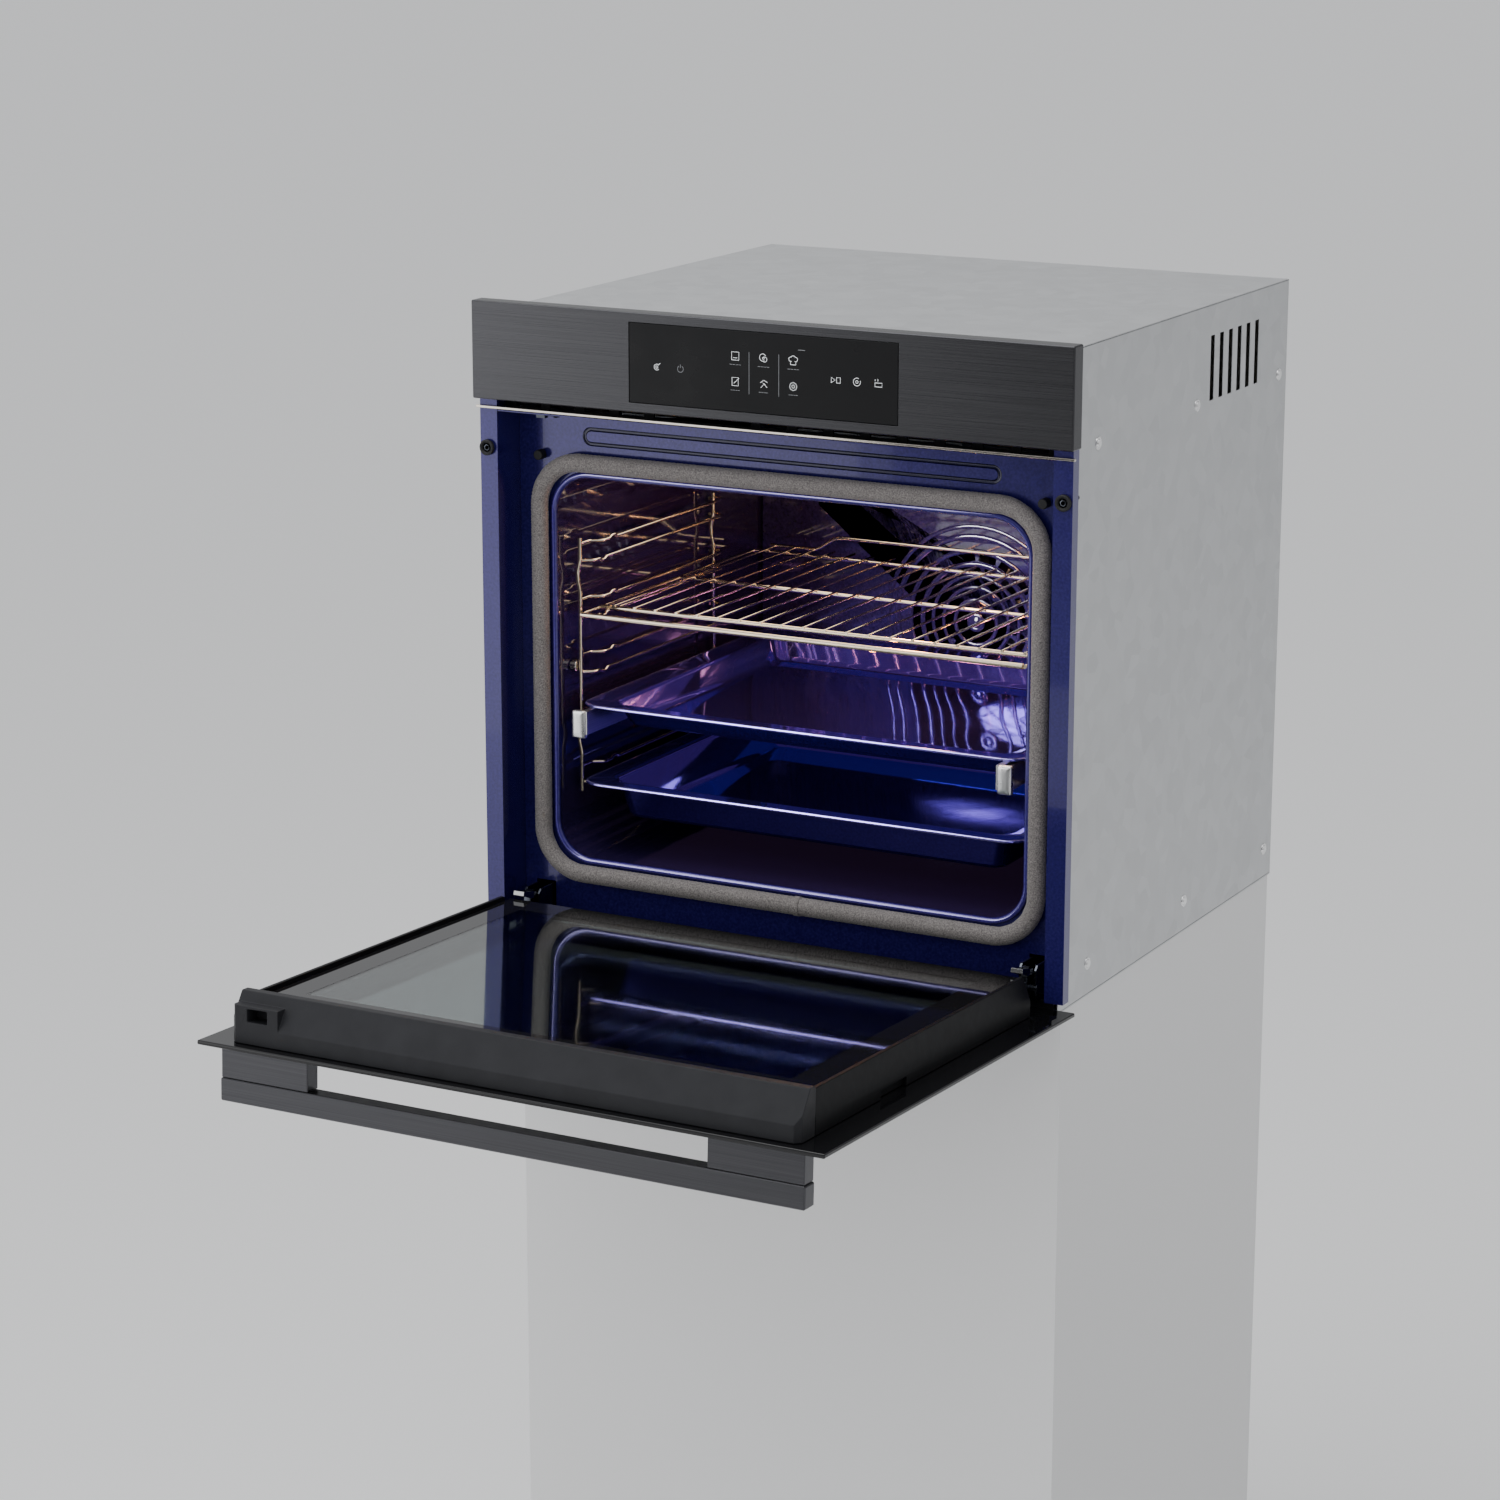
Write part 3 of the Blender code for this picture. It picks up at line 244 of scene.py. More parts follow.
LOOK = {
    "enamel": enamel("blue_enamel", (0.014, 0.009, 0.112), (0.030, 0.020, 0.182), 0.20, 0.35, 0.05, 0.06),
    "liner": enamel("liner_enamel", (0.017, 0.010, 0.050), (0.036, 0.022, 0.094), 0.05, 0.0, 0.06),
    "tray": enamel("tray_enamel", (0.225, 0.160, 0.800), (0.280, 0.205, 0.920), 0.05, 0.90, 0.02,
                   coat=0.10, tint=(0.56, 0.45, 1.0)),
    # Painted shade: a much darker copy of the tray enamel, for the tray's outside walls and underside.
    "tray_painted_shade": enamel("tray_painted_shade_enamel", (0.018, 0.009, 0.110), (0.028, 0.015, 0.160), 0.18, 0.60, 0.02,
                        coat=0.03, tint=(0.16, 0.10, 0.60)),
    "lip": enamel("lip_enamel", (0.020, 0.012, 0.110), (0.034, 0.022, 0.170), 0.09, 0.35, 0.03),
    # Painted highlight: a paler, whiter copy of the tray enamel for the rolled rims.
    "bead": enamel("rim_bead_painted_highlight", (0.36, 0.31, 0.80), (0.42, 0.37, 0.88), 0.10, 0.90, 0.02, coat=0.10),
    # Painted shade: a near-black copy of the blue enamel for the stadium groove.
    "groove": enamel("groove_painted_shade", (0.002, 0.002, 0.030), (0.004, 0.004, 0.045), 0.20, 0.30),
    "graphite": brushed("brushed_graphite", (0.042, 0.042, 0.046), (0.070, 0.070, 0.075), 0.27,
                        GRAIN_ALONG_X),
    "handle": brushed("brushed_handle", (0.062, 0.062, 0.068), (0.098, 0.098, 0.105), 0.30,
                      GRAIN_ALONG_X),
    "display": glazing("display_glass", (0.006, 0.006, 0.007), roughness=0.30),
    "black_glass": glazing("black_glass", (0.006, 0.006, 0.007)),
    "clear_glass": glazing("clear_glass", (0.72, 0.80, 0.80), 1.0),
    "frit": glazing("black_frit", (0.010, 0.010, 0.011)),
    "chrome": polished("chrome", (0.78, 0.72, 0.64), 0.07),
    # Painted reflection: the wire chrome is tinted warm gold for the warm-lit cavity it reflects.
    "wire_chrome_painted_warm_reflection": polished("wire_chrome_painted_warm_reflection", (0.80, 0.68, 0.52), 0.09),
    "bright_cap": polished("bright_cap", (0.92, 0.92, 0.92), 0.22),
    "stainless": brushed("stainless", (0.52, 0.52, 0.52), (0.68, 0.68, 0.68), 0.3, GRAIN_ALONG_Y, 1.0),
    "zinc": zinc("zinc_sheet", (0.62, 0.63, 0.64)),
    "lock_steel": polished("lock_steel", (0.42, 0.42, 0.43), 0.12),
    "dark_steel": polished("dark_steel", (0.115, 0.125, 0.150), 0.20),
    "plastic": moulded("black_plastic", (0.0255, 0.0260, 0.0295), 0.48),
    # Painted shade: a darker copy of the black plastic, for the door rails on their side away from the light; the
    # small mouldings share it.
    "darker_plastic_painted_shade": moulded("darker_plastic_painted_shade", (0.0085, 0.0085, 0.010), 0.42),
    "rubber": moulded("black_rubber", (0.010, 0.010, 0.011), 0.62, 600.0, 0.3),
    "woven": woven("woven_seal"),
    "wool": wool("mineral_wool"),
    "heater": polished("heater_tube", (0.16, 0.14, 0.12), 0.38),
    "icon": glowing("icon_white", (0.85, 0.88, 0.9), 0.9),
    "icon_dim": glowing("icon_dim", (0.30, 0.31, 0.33), 0.22),
    "lamp": glowing("lamp_lens", (1.0, 0.72, 0.42), 2.5),
}
for dull, gloss in (("plastic", 0.22), ("darker_plastic_painted_shade", 0.10), ("display", 0.22)):
    LOOK[dull].node_tree.nodes["Principled BSDF"].inputs["Specular IOR Level"].default_value = gloss


def paint_cad_nodes():
    """Gives every CAD node its look, also the ones that a finer piece replaces."""
    looks = {
        "enamel": ("front_frame",),
        "liner": ("cavity_liner", "rear_baffle"),
        "tray": ("upper_tray", "lower_tray"),
        "graphite": ("control_panel", "handle_bar", "handle_post_left", "handle_post_right"),
        "black_glass": ("display_glass", "door_outer_glass"),
        "clear_glass": ("door_inner_glass", "door_middle_glass"),
        "chrome": ("trim_strip", "wire_rack", "side_rack_left", "side_rack_right", "rack_knob_left",
                   "rack_knob_right", "hinge_lock_left", "hinge_lock_right"),
        "stainless": ("rail_slide_left", "rail_slide_right", "rail_fixed_left", "rail_fixed_right",
                      "temperature_probe"),
        "zinc": ("housing_left", "housing_right", "housing_top", "housing_base", "housing_back", "fan_motor",
                 "blower_scroll", "air_duct", "convection_fan", "cooling_fan"),
        "dark_steel": ("latch_hook", "hinge_body_left", "hinge_body_right", "hinge_arm_left",
                       "hinge_arm_right", "blower_motor"),
        "plastic": ("vent_grille", "latch_bracket", "plinth_trim", "terminal_block", "door_cap",
                    "door_rail_left", "door_rail_right", "door_sill"),
        "rubber": ("fixing_screw_left", "fixing_screw_right", "door_buffer_left", "door_buffer_right"),
        "woven": ("door_gasket",),
        "wool": ("insulation",),
        "heater": ("top_heater", "bottom_heater", "ring_heater"),
        "lamp": ("lamp_lens",),
    }
    for look, names in looks.items():
        for name in names:
            mesh = NODES[name].data
            mesh.materials.clear()
            mesh.materials.append(LOOK[look])


# ---- mesh helpers -----------------------------------------------------------------------
def add_piece(name, bm, look, body, smooth=35.0):
    """Makes a piece of a bmesh; edges sharper than smooth degrees stay crisp."""
    bmesh.ops.recalc_face_normals(bm, faces=bm.faces)
    mesh = bpy.data.meshes.new(name)
    bm.to_mesh(mesh)
    bm.free()
    made = bpy.data.objects.new(name, mesh)
    bpy.context.scene.collection.objects.link(made)
    mesh.materials.append(LOOK[look])
    mesh.shade_smooth()
    mesh.set_sharp_from_angle(angle=math.radians(smooth))
    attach(made, body)
    return made


def rounded_path(points, radius, steps=5):
    """Rounds a polyline's corners with curves of about the given radius."""
    points = [Vector(p) for p in points]
    path = [points[0]]
    for before, at, after in zip(points, points[1:], points[2:]):
        back, ahead = before - at, after - at
        reach = min(radius, back.length * 0.48, ahead.length * 0.48)
        start, end = at + back.normalized() * reach, at + ahead.normalized() * reach
        for i in range(steps + 1):
            t = i / steps
            path.append(start * (1 - t) ** 2 + at * (2 * t * (1 - t)) + end * t * t)
    path.append(points[-1])
    return path


def skin(bm, rings, looped=False):
    """Joins each ring of vertices to the next, and the last to the first if looped."""
    followers = rings[1:] + rings[:1] if looped else rings[1:]
    for a, b in zip(rings, followers):
        sides = len(a)
        for k in range(sides):
            n = (k + 1) % sides
            bm.faces.new((a[k], a[n], b[n], b[k]))


def sweep(bm, path, section, closed=False):
    """Carries a closed section of (a, b) offsets along a path, with no twist; an open path gets end caps."""
    count = len(path)
    normal = None
    rings = []
    for i, at in enumerate(path):
        ahead = path[(i + 1) % count] if closed or i + 1 < count else at
        behind = path[i - 1] if closed or i else at
        along = (ahead - behind).normalized()
        if normal is None:
            normal = along.orthogonal().normalized()
        normal = (normal - along * normal.dot(along)).normalized()
        across = along.cross(normal)
        rings.append([bm.verts.new(at + normal * a + across * b) for a, b in section])
    skin(bm, rings, closed)
    if not closed:
        bm.faces.new(list(reversed(rings[0])))
        bm.faces.new(rings[-1])


def round_section(radius, sides=12):
    turns = (2 * math.pi * i / sides for i in range(sides))
    return [(radius * math.cos(t), radius * math.sin(t)) for t in turns]


def rods(name, paths, look, body, bend=0.006):
    """One piece of bright wire work: each entry is (points, radius)."""
    bm = bmesh.new()
    for points, radius in paths:
        sweep(bm, rounded_path(points, bend), round_section(radius))
    return add_piece(name, bm, look, body, 50.0)


WELD = 1e-6
FLAT_ANGLE = math.radians(1.0)
EDGE_ANGLE = math.radians(30.0)


def refined(node, look, width, segments):
    """A copy of a CAD node with edges rounded over width millimetres, which stands for it."""
    bm = bmesh.new()
    bm.from_mesh(NODES[node].data)
    bmesh.ops.remove_doubles(bm, verts=bm.verts, dist=WELD)
    bmesh.ops.dissolve_limit(bm, angle_limit=FLAT_ANGLE, verts=bm.verts, edges=bm.edges)
    mesh = bpy.data.meshes.new(node + "_fine")
    bm.to_mesh(mesh)
    bm.free()
    made = bpy.data.objects.new(node + "_fine", mesh)
    bpy.context.scene.collection.objects.link(made)
    mesh.materials.clear()
    mesh.materials.append(LOOK[look])
    mesh.shade_smooth()
    bevel = made.modifiers.new("edge", "BEVEL")
    bevel.width = width * MM
    bevel.segments = segments
    bevel.limit_method = "ANGLE"
    bevel.angle_limit = EDGE_ANGLE
    bevel.miter_outer = "MITER_ARC"
    weighted = made.modifiers.new("normals", "WEIGHTED_NORMAL")
    weighted.keep_sharp = True
    graph = bpy.context.evaluated_depsgraph_get()
    fine = bpy.data.meshes.new_from_object(made.evaluated_get(graph), depsgraph=graph)
    made.modifiers.clear()
    made.data = fine
    bpy.data.meshes.remove(mesh)
    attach(made, BODY_OF[node])
    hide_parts(node)


def refine_sheet_and_mouldings():
    """Rounds the edges of sheets and mouldings: look, width in mm, segments, nodes."""
    for look, width, segments, names in (
            ("enamel", 0.35, 2, ("front_frame",)),
            ("liner", 0.25, 2, ("rear_baffle",)),
            ("graphite", 0.35, 2, ("control_panel",)),
            ("handle", 0.35, 2, ("handle_bar", "handle_post_left", "handle_post_right")),
            ("display", 0.3, 2, ("display_glass",)),
            ("black_glass", 0.3, 2, ("door_outer_glass",)),
            ("plastic", 0.7, 3, ("door_cap",)),
            # The door rails take the darker plastic: painted shade.
            ("darker_plastic_painted_shade", 0.7, 3, ("door_rail_left", "door_rail_right")),
            ("darker_plastic_painted_shade", 0.4, 2, ("latch_bracket", "vent_grille", "plinth_trim", "terminal_block",
                                      "door_sill")),
            ("dark_steel", 0.5, 2, ("hinge_body_left", "hinge_body_right", "hinge_arm_left",
                                    "hinge_arm_right", "latch_hook")),
            ("lock_steel", 0.35, 2, ("hinge_lock_left", "hinge_lock_right")),
            ("chrome", 0.35, 2, ("rack_knob_left", "rack_knob_right", "trim_strip")),
            ("rubber", 0.5, 2, ("fixing_screw_left", "fixing_screw_right", "door_buffer_left",
                                "door_buffer_right")),
            ("zinc", 0.3, 1, ("housing_left", "housing_right", "housing_top", "housing_back")),
            ("stainless", 0.6, 2, ("rail_slide_left", "rail_slide_right", "rail_fixed_left",
                                   "rail_fixed_right"))):
        for name in names:
            refined(name, look, width, segments)


def rounded_loop(half_x, z_low, z_high, radius, steps, centre_x=0.0):
    """Points (x, z) round an upright rectangle, with steps to each round corner."""
    corners = ((half_x - radius, z_low + radius, -90), (half_x - radius, z_high - radius, 0),
               (radius - half_x, z_high - radius, 90), (radius - half_x, z_low + radius, 180))
    points = []
    for cx, cz, start in corners:
        for i in range(steps + 1):
            turn = math.radians(start + 90 * i / steps)
            points.append((centre_x + cx + radius * math.cos(turn), cz + radius * math.sin(turn)))
    return points


def lofted(name, rings, look, body, smooth=40.0):
    """Joins rings of equal length into one surface, closed by a face at each end."""
    bm = bmesh.new()
    rows = [[bm.verts.new(p) for p in ring] for ring in rings]
    skin(bm, rows)
    bm.faces.new(rows[0])
    bm.faces.new(rows[-1])
    return add_piece(name, bm, look, body, smooth)


TIP_RADIUS = 1e-6


def turned(name, profile, centre, look, body, steps=32):
    """A shape turned round the Y axis: profile is (radius, distance along the axis)."""
    axis = Vector((0, 1, 0))
    spoke = axis.orthogonal().normalized()
    other = axis.cross(spoke)
    rings = []
    for radius, along in profile:
        reach = max(radius, TIP_RADIUS)
        turns = (2 * math.pi * i / steps for i in range(steps))
        rings.append([Vector(centre) + axis * along + (spoke * math.cos(t) + other * math.sin(t)) * reach
                      for t in turns])
    return lofted(name, rings, look, body, smooth=35.0)


# ---- gasket and lip of the mouth ---------------------------------------------------------
GASKET_RADIUS = 0.0085
GASKET_HALF_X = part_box("door_gasket")[1].x - GASKET_RADIUS
GASKET_BOTTOM_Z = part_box("door_gasket")[0].z + GASKET_RADIUS
GASKET_TOP_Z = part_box("door_gasket")[1].z - GASKET_RADIUS
GASKET_CORNER = 0.042
GASKET_CENTRE_Y = 0.0212
GASKET_SIDES = 28
GASKET_FLATTENED = 0.82
BRAID_PITCH = 0.0030
BRAID_STRANDS = 7
BRAID_LIFT = 0.00040
BRAID_ROOT = 0.0003
BRAID_STEP = 0.0011
FACE_Y = 0.028


def seal_route():
    """Evenly close points (x, z) along the centre line of the seal."""
    loop = rounded_loop(GASKET_HALF_X, GASKET_BOTTOM_Z, GASKET_TOP_Z, GASKET_CORNER, 24)
    route = []
    for (x0, z0), (x1, z1) in zip(loop, loop[1:] + loop[:1]):
        steps = max(1, round(math.hypot(x1 - x0, z1 - z0) / BRAID_STEP))
        route += [(x0 + (x1 - x0) * i / steps, z0 + (z1 - z0) * i / steps) for i in range(steps)]
    return route


def gasket():
    """Braided tube round the mouth: two families of strands wind round it in opposite senses."""
    route = seal_route()
    bm = bmesh.new()
    rings = []
    travelled = 0.0
    for i, (x, z) in enumerate(route):
        x_next, z_next = route[(i + 1) % len(route)]
        x_last, z_last = route[i - 1]
        along = Vector((x_next - x_last, 0.0, z_next - z_last)).normalized()
        outward = Vector((along.z, 0.0, -along.x))
        phase = 2 * math.pi * travelled / BRAID_PITCH
        ring = []
        for k in range(GASKET_SIDES):
            turn = 2 * math.pi * k / GASKET_SIDES
            lift = max(math.sin(phase + BRAID_STRANDS * turn), math.sin(phase - BRAID_STRANDS * turn))
            radius = GASKET_RADIUS - BRAID_ROOT + BRAID_LIFT * lift
            flat = GASKET_FLATTENED if math.sin(turn) > 0 else 0.80
            lifted = Vector((x, GASKET_CENTRE_Y + radius * flat * math.sin(turn), z))
            ring.append(bm.verts.new(lifted + outward * (radius * math.cos(turn))))
        rings.append(ring)
        travelled += math.hypot(x_next - x, z_next - z)
    skin(bm, rings, looped=True)
    seal = add_piece("gasket_braid", bm, "woven", "oven_body", 80.0)
    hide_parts("door_gasket")
    squash_seal(seal)


def gasket_sleeve():
    """Crimped sleeve over the seal's joint, at the bottom of the mouth."""
    snug, proud = 0.0002, 0.00062
    rings = []
    for x, grow in ((0.0128, snug), (0.0131, proud), (0.0133, proud), (0.0187, proud), (0.0189, proud),
                    (0.0192, snug)):
        radius = GASKET_RADIUS + grow
        turns = (2 * math.pi * i / GASKET_SIDES for i in range(GASKET_SIDES))
        rings.append([Vector((x, GASKET_CENTRE_Y + radius * GASKET_FLATTENED * math.sin(t),
                              GASKET_BOTTOM_Z + radius * math.cos(t))) for t in turns])
    squash_seal(lofted("gasket_sleeve", rings, "woven", "oven_body"))


def squash_seal(piece):
    """Gives the seal piece a mesh of its own."""
    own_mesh(piece)


def mouth_lip():
    """Rounded lip where the liner meets the front frame."""
    half_x, z_low, z_high, corner, lip_y = 0.2405, 0.0720, 0.4380, 0.0370, 0.0274
    path = [Vector((x, lip_y, z)) for x, z in rounded_loop(half_x, z_low, z_high, corner, 14)]
    bm = bmesh.new()
    sweep(bm, path, round_section(0.0032, 16), closed=True)
    add_piece("mouth_lip", bm, "lip", "oven_body", 60.0)


# ---- wire work ---------------------------------------------------------------------------
def wire_rack():
    """Frame and cross bars, twenty thin wires over them, and a raised guard at the back."""
    low_z = 0.3016
    front_y, side_end_y, wire_start_y, wire_end_y = 0.047, 0.392, 0.0815, 0.404
    front_half, side_x, bar_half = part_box("wire_rack")[1].x - 0.0036, 0.226, 0.2255
    front_radius, side_radius, wire_radius, guard_radius = 0.0027, 0.0018, 0.0013, 0.0020
    paths = [([(-front_half, front_y, low_z), (front_half, front_y, low_z)], front_radius)]
    for x in (-side_x, side_x):
        paths.append(([(x, front_y, low_z), (x, side_end_y, low_z)], side_radius))
    for y, radius, lift in ((0.084, 0.0024, 0.0008), (0.236, 0.0022, 0.0002), (0.388, 0.0022, 0.0002)):
        paths.append(([(-bar_half, y, low_z + lift), (bar_half, y, low_z + lift)], radius))
    wires, pitch, wire_z = 20, 0.0221, low_z + 0.0030
    for i in range(wires):
        x = (i - (wires - 1) / 2) * pitch
        paths.append(([(x, wire_start_y, wire_z), (x, wire_end_y, wire_z)], wire_radius))
    guard = [(0.141, low_z + 0.0178), (0.163, low_z + 0.0036), (0.215, low_z + 0.0036)]
    guard = [(-x, z) for x, z in guard[::-1]] + guard
    paths.append(([(x, wire_end_y, z) for x, z in guard], guard_radius))
    rack = rods("rack_wires", paths, "wire_chrome_painted_warm_reflection", "wire_rack")
    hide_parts("wire_rack")


def side_racks():
    """Wire ladders; each guide has a stop bump near the front and a hooked end at the back."""
    post_x, guide_x = 0.2315, 0.2205
    post_radius, guide_radius = 0.0020, 0.0016
    front_y, rear_y = 0.057, 0.314
    levels, top_z, pitch, drop = 5, 0.3664, 0.053, 0.016
    bump, jog = 0.0022, 0.0024
    for side, word in ((-1, "left"), (1, "right")):
        low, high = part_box("side_rack_" + word)
        paths = []
        for y, jogs in ((front_y, (0.335, 0.182)), (rear_y, (0.335,))):
            run = [(side * post_x, y, high.z)]
            for z in jogs:
                for dz, out in ((0.014, 0), (0.004, jog), (-0.004, jog), (-0.014, 0)):
                    run.append((side * (post_x + out), y, z + dz))
            paths.append(([*run, (side * post_x, y, low.z)], post_radius))
        for level in range(levels):
            upper = top_z - pitch * level
            for z, start, bump_y, lift in ((upper, 0.074, 0.099, bump), (upper - drop, 0.058, 0.080, -bump)):
                run = [(post_x, front_y - 0.0004, z), (post_x, start, z), (guide_x, start + 0.007, z),
                       (guide_x, bump_y - 0.006, z), (guide_x, bump_y - 0.003, z + lift),
                       (guide_x, bump_y + 0.003, z + lift), (guide_x, bump_y + 0.006, z),
                       (guide_x, rear_y - 0.006, z), (post_x - 0.004, rear_y + 0.0065, z),
                       (post_x + 0.0036, rear_y + 0.0050, z), (post_x + 0.0036, rear_y - 0.0010, z)]
                paths.append(([(side * x, y, height) for x, y, height in run], guide_radius))
        rack = rods("ladder_" + word, paths, "wire_chrome_painted_warm_reflection", "oven_body", bend=0.003)
        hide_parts("side_rack_" + word)


def slide_caps():
    """Bright crowned caps on the front ends of the telescopic rails."""
    tab_x, half = 0.21725, 0.00675
    for side, word in ((-1, "left"), (1, "right")):
        low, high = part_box("rail_slide_" + word)
        rings = []
        for y, inset in ((0.0033, -0.0002), (-0.0002, -0.0002), (-0.0009, 0.0004), (-0.0014, 0.0014),
                         (-0.0018, 0.0032), (-0.0019, 0.0050)):
            corner = max(0.0022 - inset * 0.3, 0.0008)
            loop = rounded_loop(half - inset, low.z + inset - 0.0002, high.z - inset + 0.0001, corner, 5,
                                side * tab_x)
            rings.append([(x, low.y + y, z) for x, z in loop])
        cap = lofted("slide_cap_" + word, rings, "bright_cap", "slide_" + word, smooth=60.0)


# ---- trays ------------------------------------------------------------------------------
TRAY_SHEET = 0.0010
TRAY_CORNER = 0.0205
TRAY_CORNER_STEPS = 8
TRAY_EDGE = 0.00135
TRAY_EDGE_RISE = 0.00105


def tray(node):
    """Deep-drawn tray with a rolled edge and soft corners; its outside walls and underside take a darker copy of
    the enamel, painted shade.
    """
    low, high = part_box(node)
    centre_y = (low.y + high.y) / 2
    half_y = (high.y - low.y) / 2
    rim_z, floor_z, wall_end = high.z - TRAY_SHEET, low.z, 0.034
    outside = [(0.020, rim_z, 0.016), (0.0232, rim_z - 0.0008, 0.015), (0.0252, rim_z - 0.0032, 0.0145),
               (wall_end - 0.0025, floor_z + 0.0050, 0.014), (wall_end + 0.0005, floor_z + 0.0014, 0.013),
               (wall_end + 0.0040, floor_z, 0.011)]
    inside = [(inset + TRAY_SHEET * 0.9, z + TRAY_SHEET, max(0.006, corner - TRAY_SHEET))
              for inset, z, corner in outside]
    edge, edge_z, edge_steps = [], rim_z + TRAY_EDGE_RISE, 12
    for i in range(edge_steps + 1):
        turn = math.radians(140 - 280 * i / edge_steps)
        inset = TRAY_EDGE - TRAY_EDGE * math.cos(turn)
        edge.append((inset, edge_z + TRAY_EDGE * math.sin(turn), TRAY_CORNER))
    rings = []
    for inset, z, corner in [*reversed(inside), *edge, *outside]:
        loop = rounded_loop(high.x - inset, centre_y - half_y + inset, centre_y + half_y - inset, corner,
                            TRAY_CORNER_STEPS)
        rings.append([(x, y, z) for x, y in loop])
    made = lofted(node + "_pan", rings, "tray", node, smooth=60.0)
    # Painted shade: faces underneath and the outside walls below the rim get the darker enamel.
    made.data.materials.append(LOOK["tray_painted_shade"])
    for face in made.data.polygons:
        away = face.center.x * face.normal.x + (face.center.y - centre_y) * face.normal.y
        if face.normal.z < -0.3 or (away > 0.02 and face.center.z < rim_z - 0.0008):
            face.material_index = 1
    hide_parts(node)


def tray_bead(node):
    """Rolled lip round the tray's rim."""
    low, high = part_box(node)
    bead_z = high.z - TRAY_SHEET + TRAY_EDGE_RISE
    loop = rounded_loop(high.x - TRAY_EDGE, low.y + TRAY_EDGE, high.y - TRAY_EDGE, TRAY_CORNER,
                        TRAY_CORNER_STEPS)
    path = [Vector((x, y, bead_z)) for x, y in loop]
    bm = bmesh.new()
    sweep(bm, path, round_section(0.00165, 14), closed=True)
    # The rolled rim takes the paler bead enamel: a painted highlight, on top of the bead_light glint.
    add_piece(node + "_bead", bm, "bead", node, 60.0)


# ---- pressed details ---------------------------------------------------------------
def ring_rib(bm, radius, half_width, height, y, centre_z):
    """A rounded circular rib that stands proud of the rear wall, towards the door."""
    foot, bulge_steps, ring_steps = 0.0004, 8, 72
    profile = [(-half_width, foot)]
    for i in range(bulge_steps + 1):
        turn = math.pi * (1 - i / bulge_steps)
        profile.append((half_width * math.cos(turn), -height * math.sin(turn)))
    profile.append((half_width, foot))
    rings = []
    for i in range(ring_steps):
        turn = 2 * math.pi * i / ring_steps
        across, up = math.cos(turn), math.sin(turn)
        rings.append([bm.verts.new(((radius + a) * across, y + b, centre_z + (radius + a) * up))
                      for a, b in profile])
    skin(bm, rings, looped=True)


def fan_cover():
    """Rounded rings pressed between the slots, outer beads and a domed hub."""
    wall_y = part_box("rear_baffle")[0].y
    low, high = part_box("convection_fan")
    fan_z = (low.z + high.z) / 2
    ribs = ((0.0225, 0.0021, 0.0012), (0.0352, 0.0019, 0.0012), (0.0467, 0.0020, 0.0012),
            (0.0582, 0.0028, 0.0013), (0.0715, 0.0026, 0.0014), (0.086, 0.0030, 0.0016),
            (0.096, 0.0022, 0.0010))
    bm = bmesh.new()
    for radius, half_width, height in ribs:
        ring_rib(bm, radius, half_width, height, wall_y, fan_z)
    rib = add_piece("fan_cover_rings", bm, "liner", "oven_body", 60.0)
    hub = [(0.0095, 0.0004), (0.0095, -0.0004), (0.0082, -0.0011), (0.0060, -0.0012), (0.0052, -0.0008),
           (0.0040, -0.0012), (0.0018, -0.0016), (0.0, -0.0017)]
    turned("fan_cover_hub", hub, (0, wall_y, fan_z), "liner", "oven_body")


def face_groove():
    """Rounded lining of the stadium groove over the seal, as (offset, depth) pairs in millimetres."""
    half_x, z_low, z_high, groove = 0.210, 0.4647, 0.4822, 0.0040
    shown = [(-1.9, 0.02), (-1.5, 0.50), (-0.8, 0.90), (0.0, 1.00), (0.8, 0.90), (1.5, 0.50), (1.9, 0.02)]
    buried = [(1.9, 0.10), (1.5, 0.58), (0.8, 0.98), (0.0, 1.07), (-0.8, 0.98), (-1.5, 0.58), (-1.9, 0.10)]
    bm = bmesh.new()
    rows = []
    for offset, depth in shown + buried:
        inset = groove / 2 + offset * MM
        radius = (z_high - z_low) / 2 - inset - 0.00001
        loop = rounded_loop(half_x - inset, z_low + inset, z_high - inset, radius, 14)
        rows.append([bm.verts.new((x, FACE_Y + depth * MM, z)) for x, z in loop])
    skin(bm, rows, looped=True)
    # The groove lining takes the near-black enamel: painted shade in the recess.
    made = add_piece("face_groove", bm, "groove", "oven_body", 60.0)


def screw_details():
    """A raised ring and a six-sided screw head on each grommet."""
    ring = [(0.0073, 0.0006), (0.0073, -0.0004), (0.0066, -0.0010), (0.0054, -0.0010), (0.0046, -0.0003),
            (0.0043, 0.0006)]
    head = [(0.0032, 0.0010), (0.0030, 0.0004), (0.0021, 0.0002), (0.0019, 0.0008), (0.0, 0.0009)]
    steps = 28
    for word in ("left", "right"):
        low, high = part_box("fixing_screw_" + word)
        x, y, z = (low.x + high.x) / 2, low.y, (low.z + high.z) / 2
        rings = []
        for radius, along in ring:
            turns = (2 * math.pi * i / steps for i in range(steps))
            rings.append([(x + radius * math.cos(t), y + along, z + radius * math.sin(t)) for t in turns])
        collar = lofted("screw_collar_" + word, rings, "rubber", "oven_body")
        turned("screw_head_" + word, head, (x, y, z), "dark_steel", "oven_body", 6)


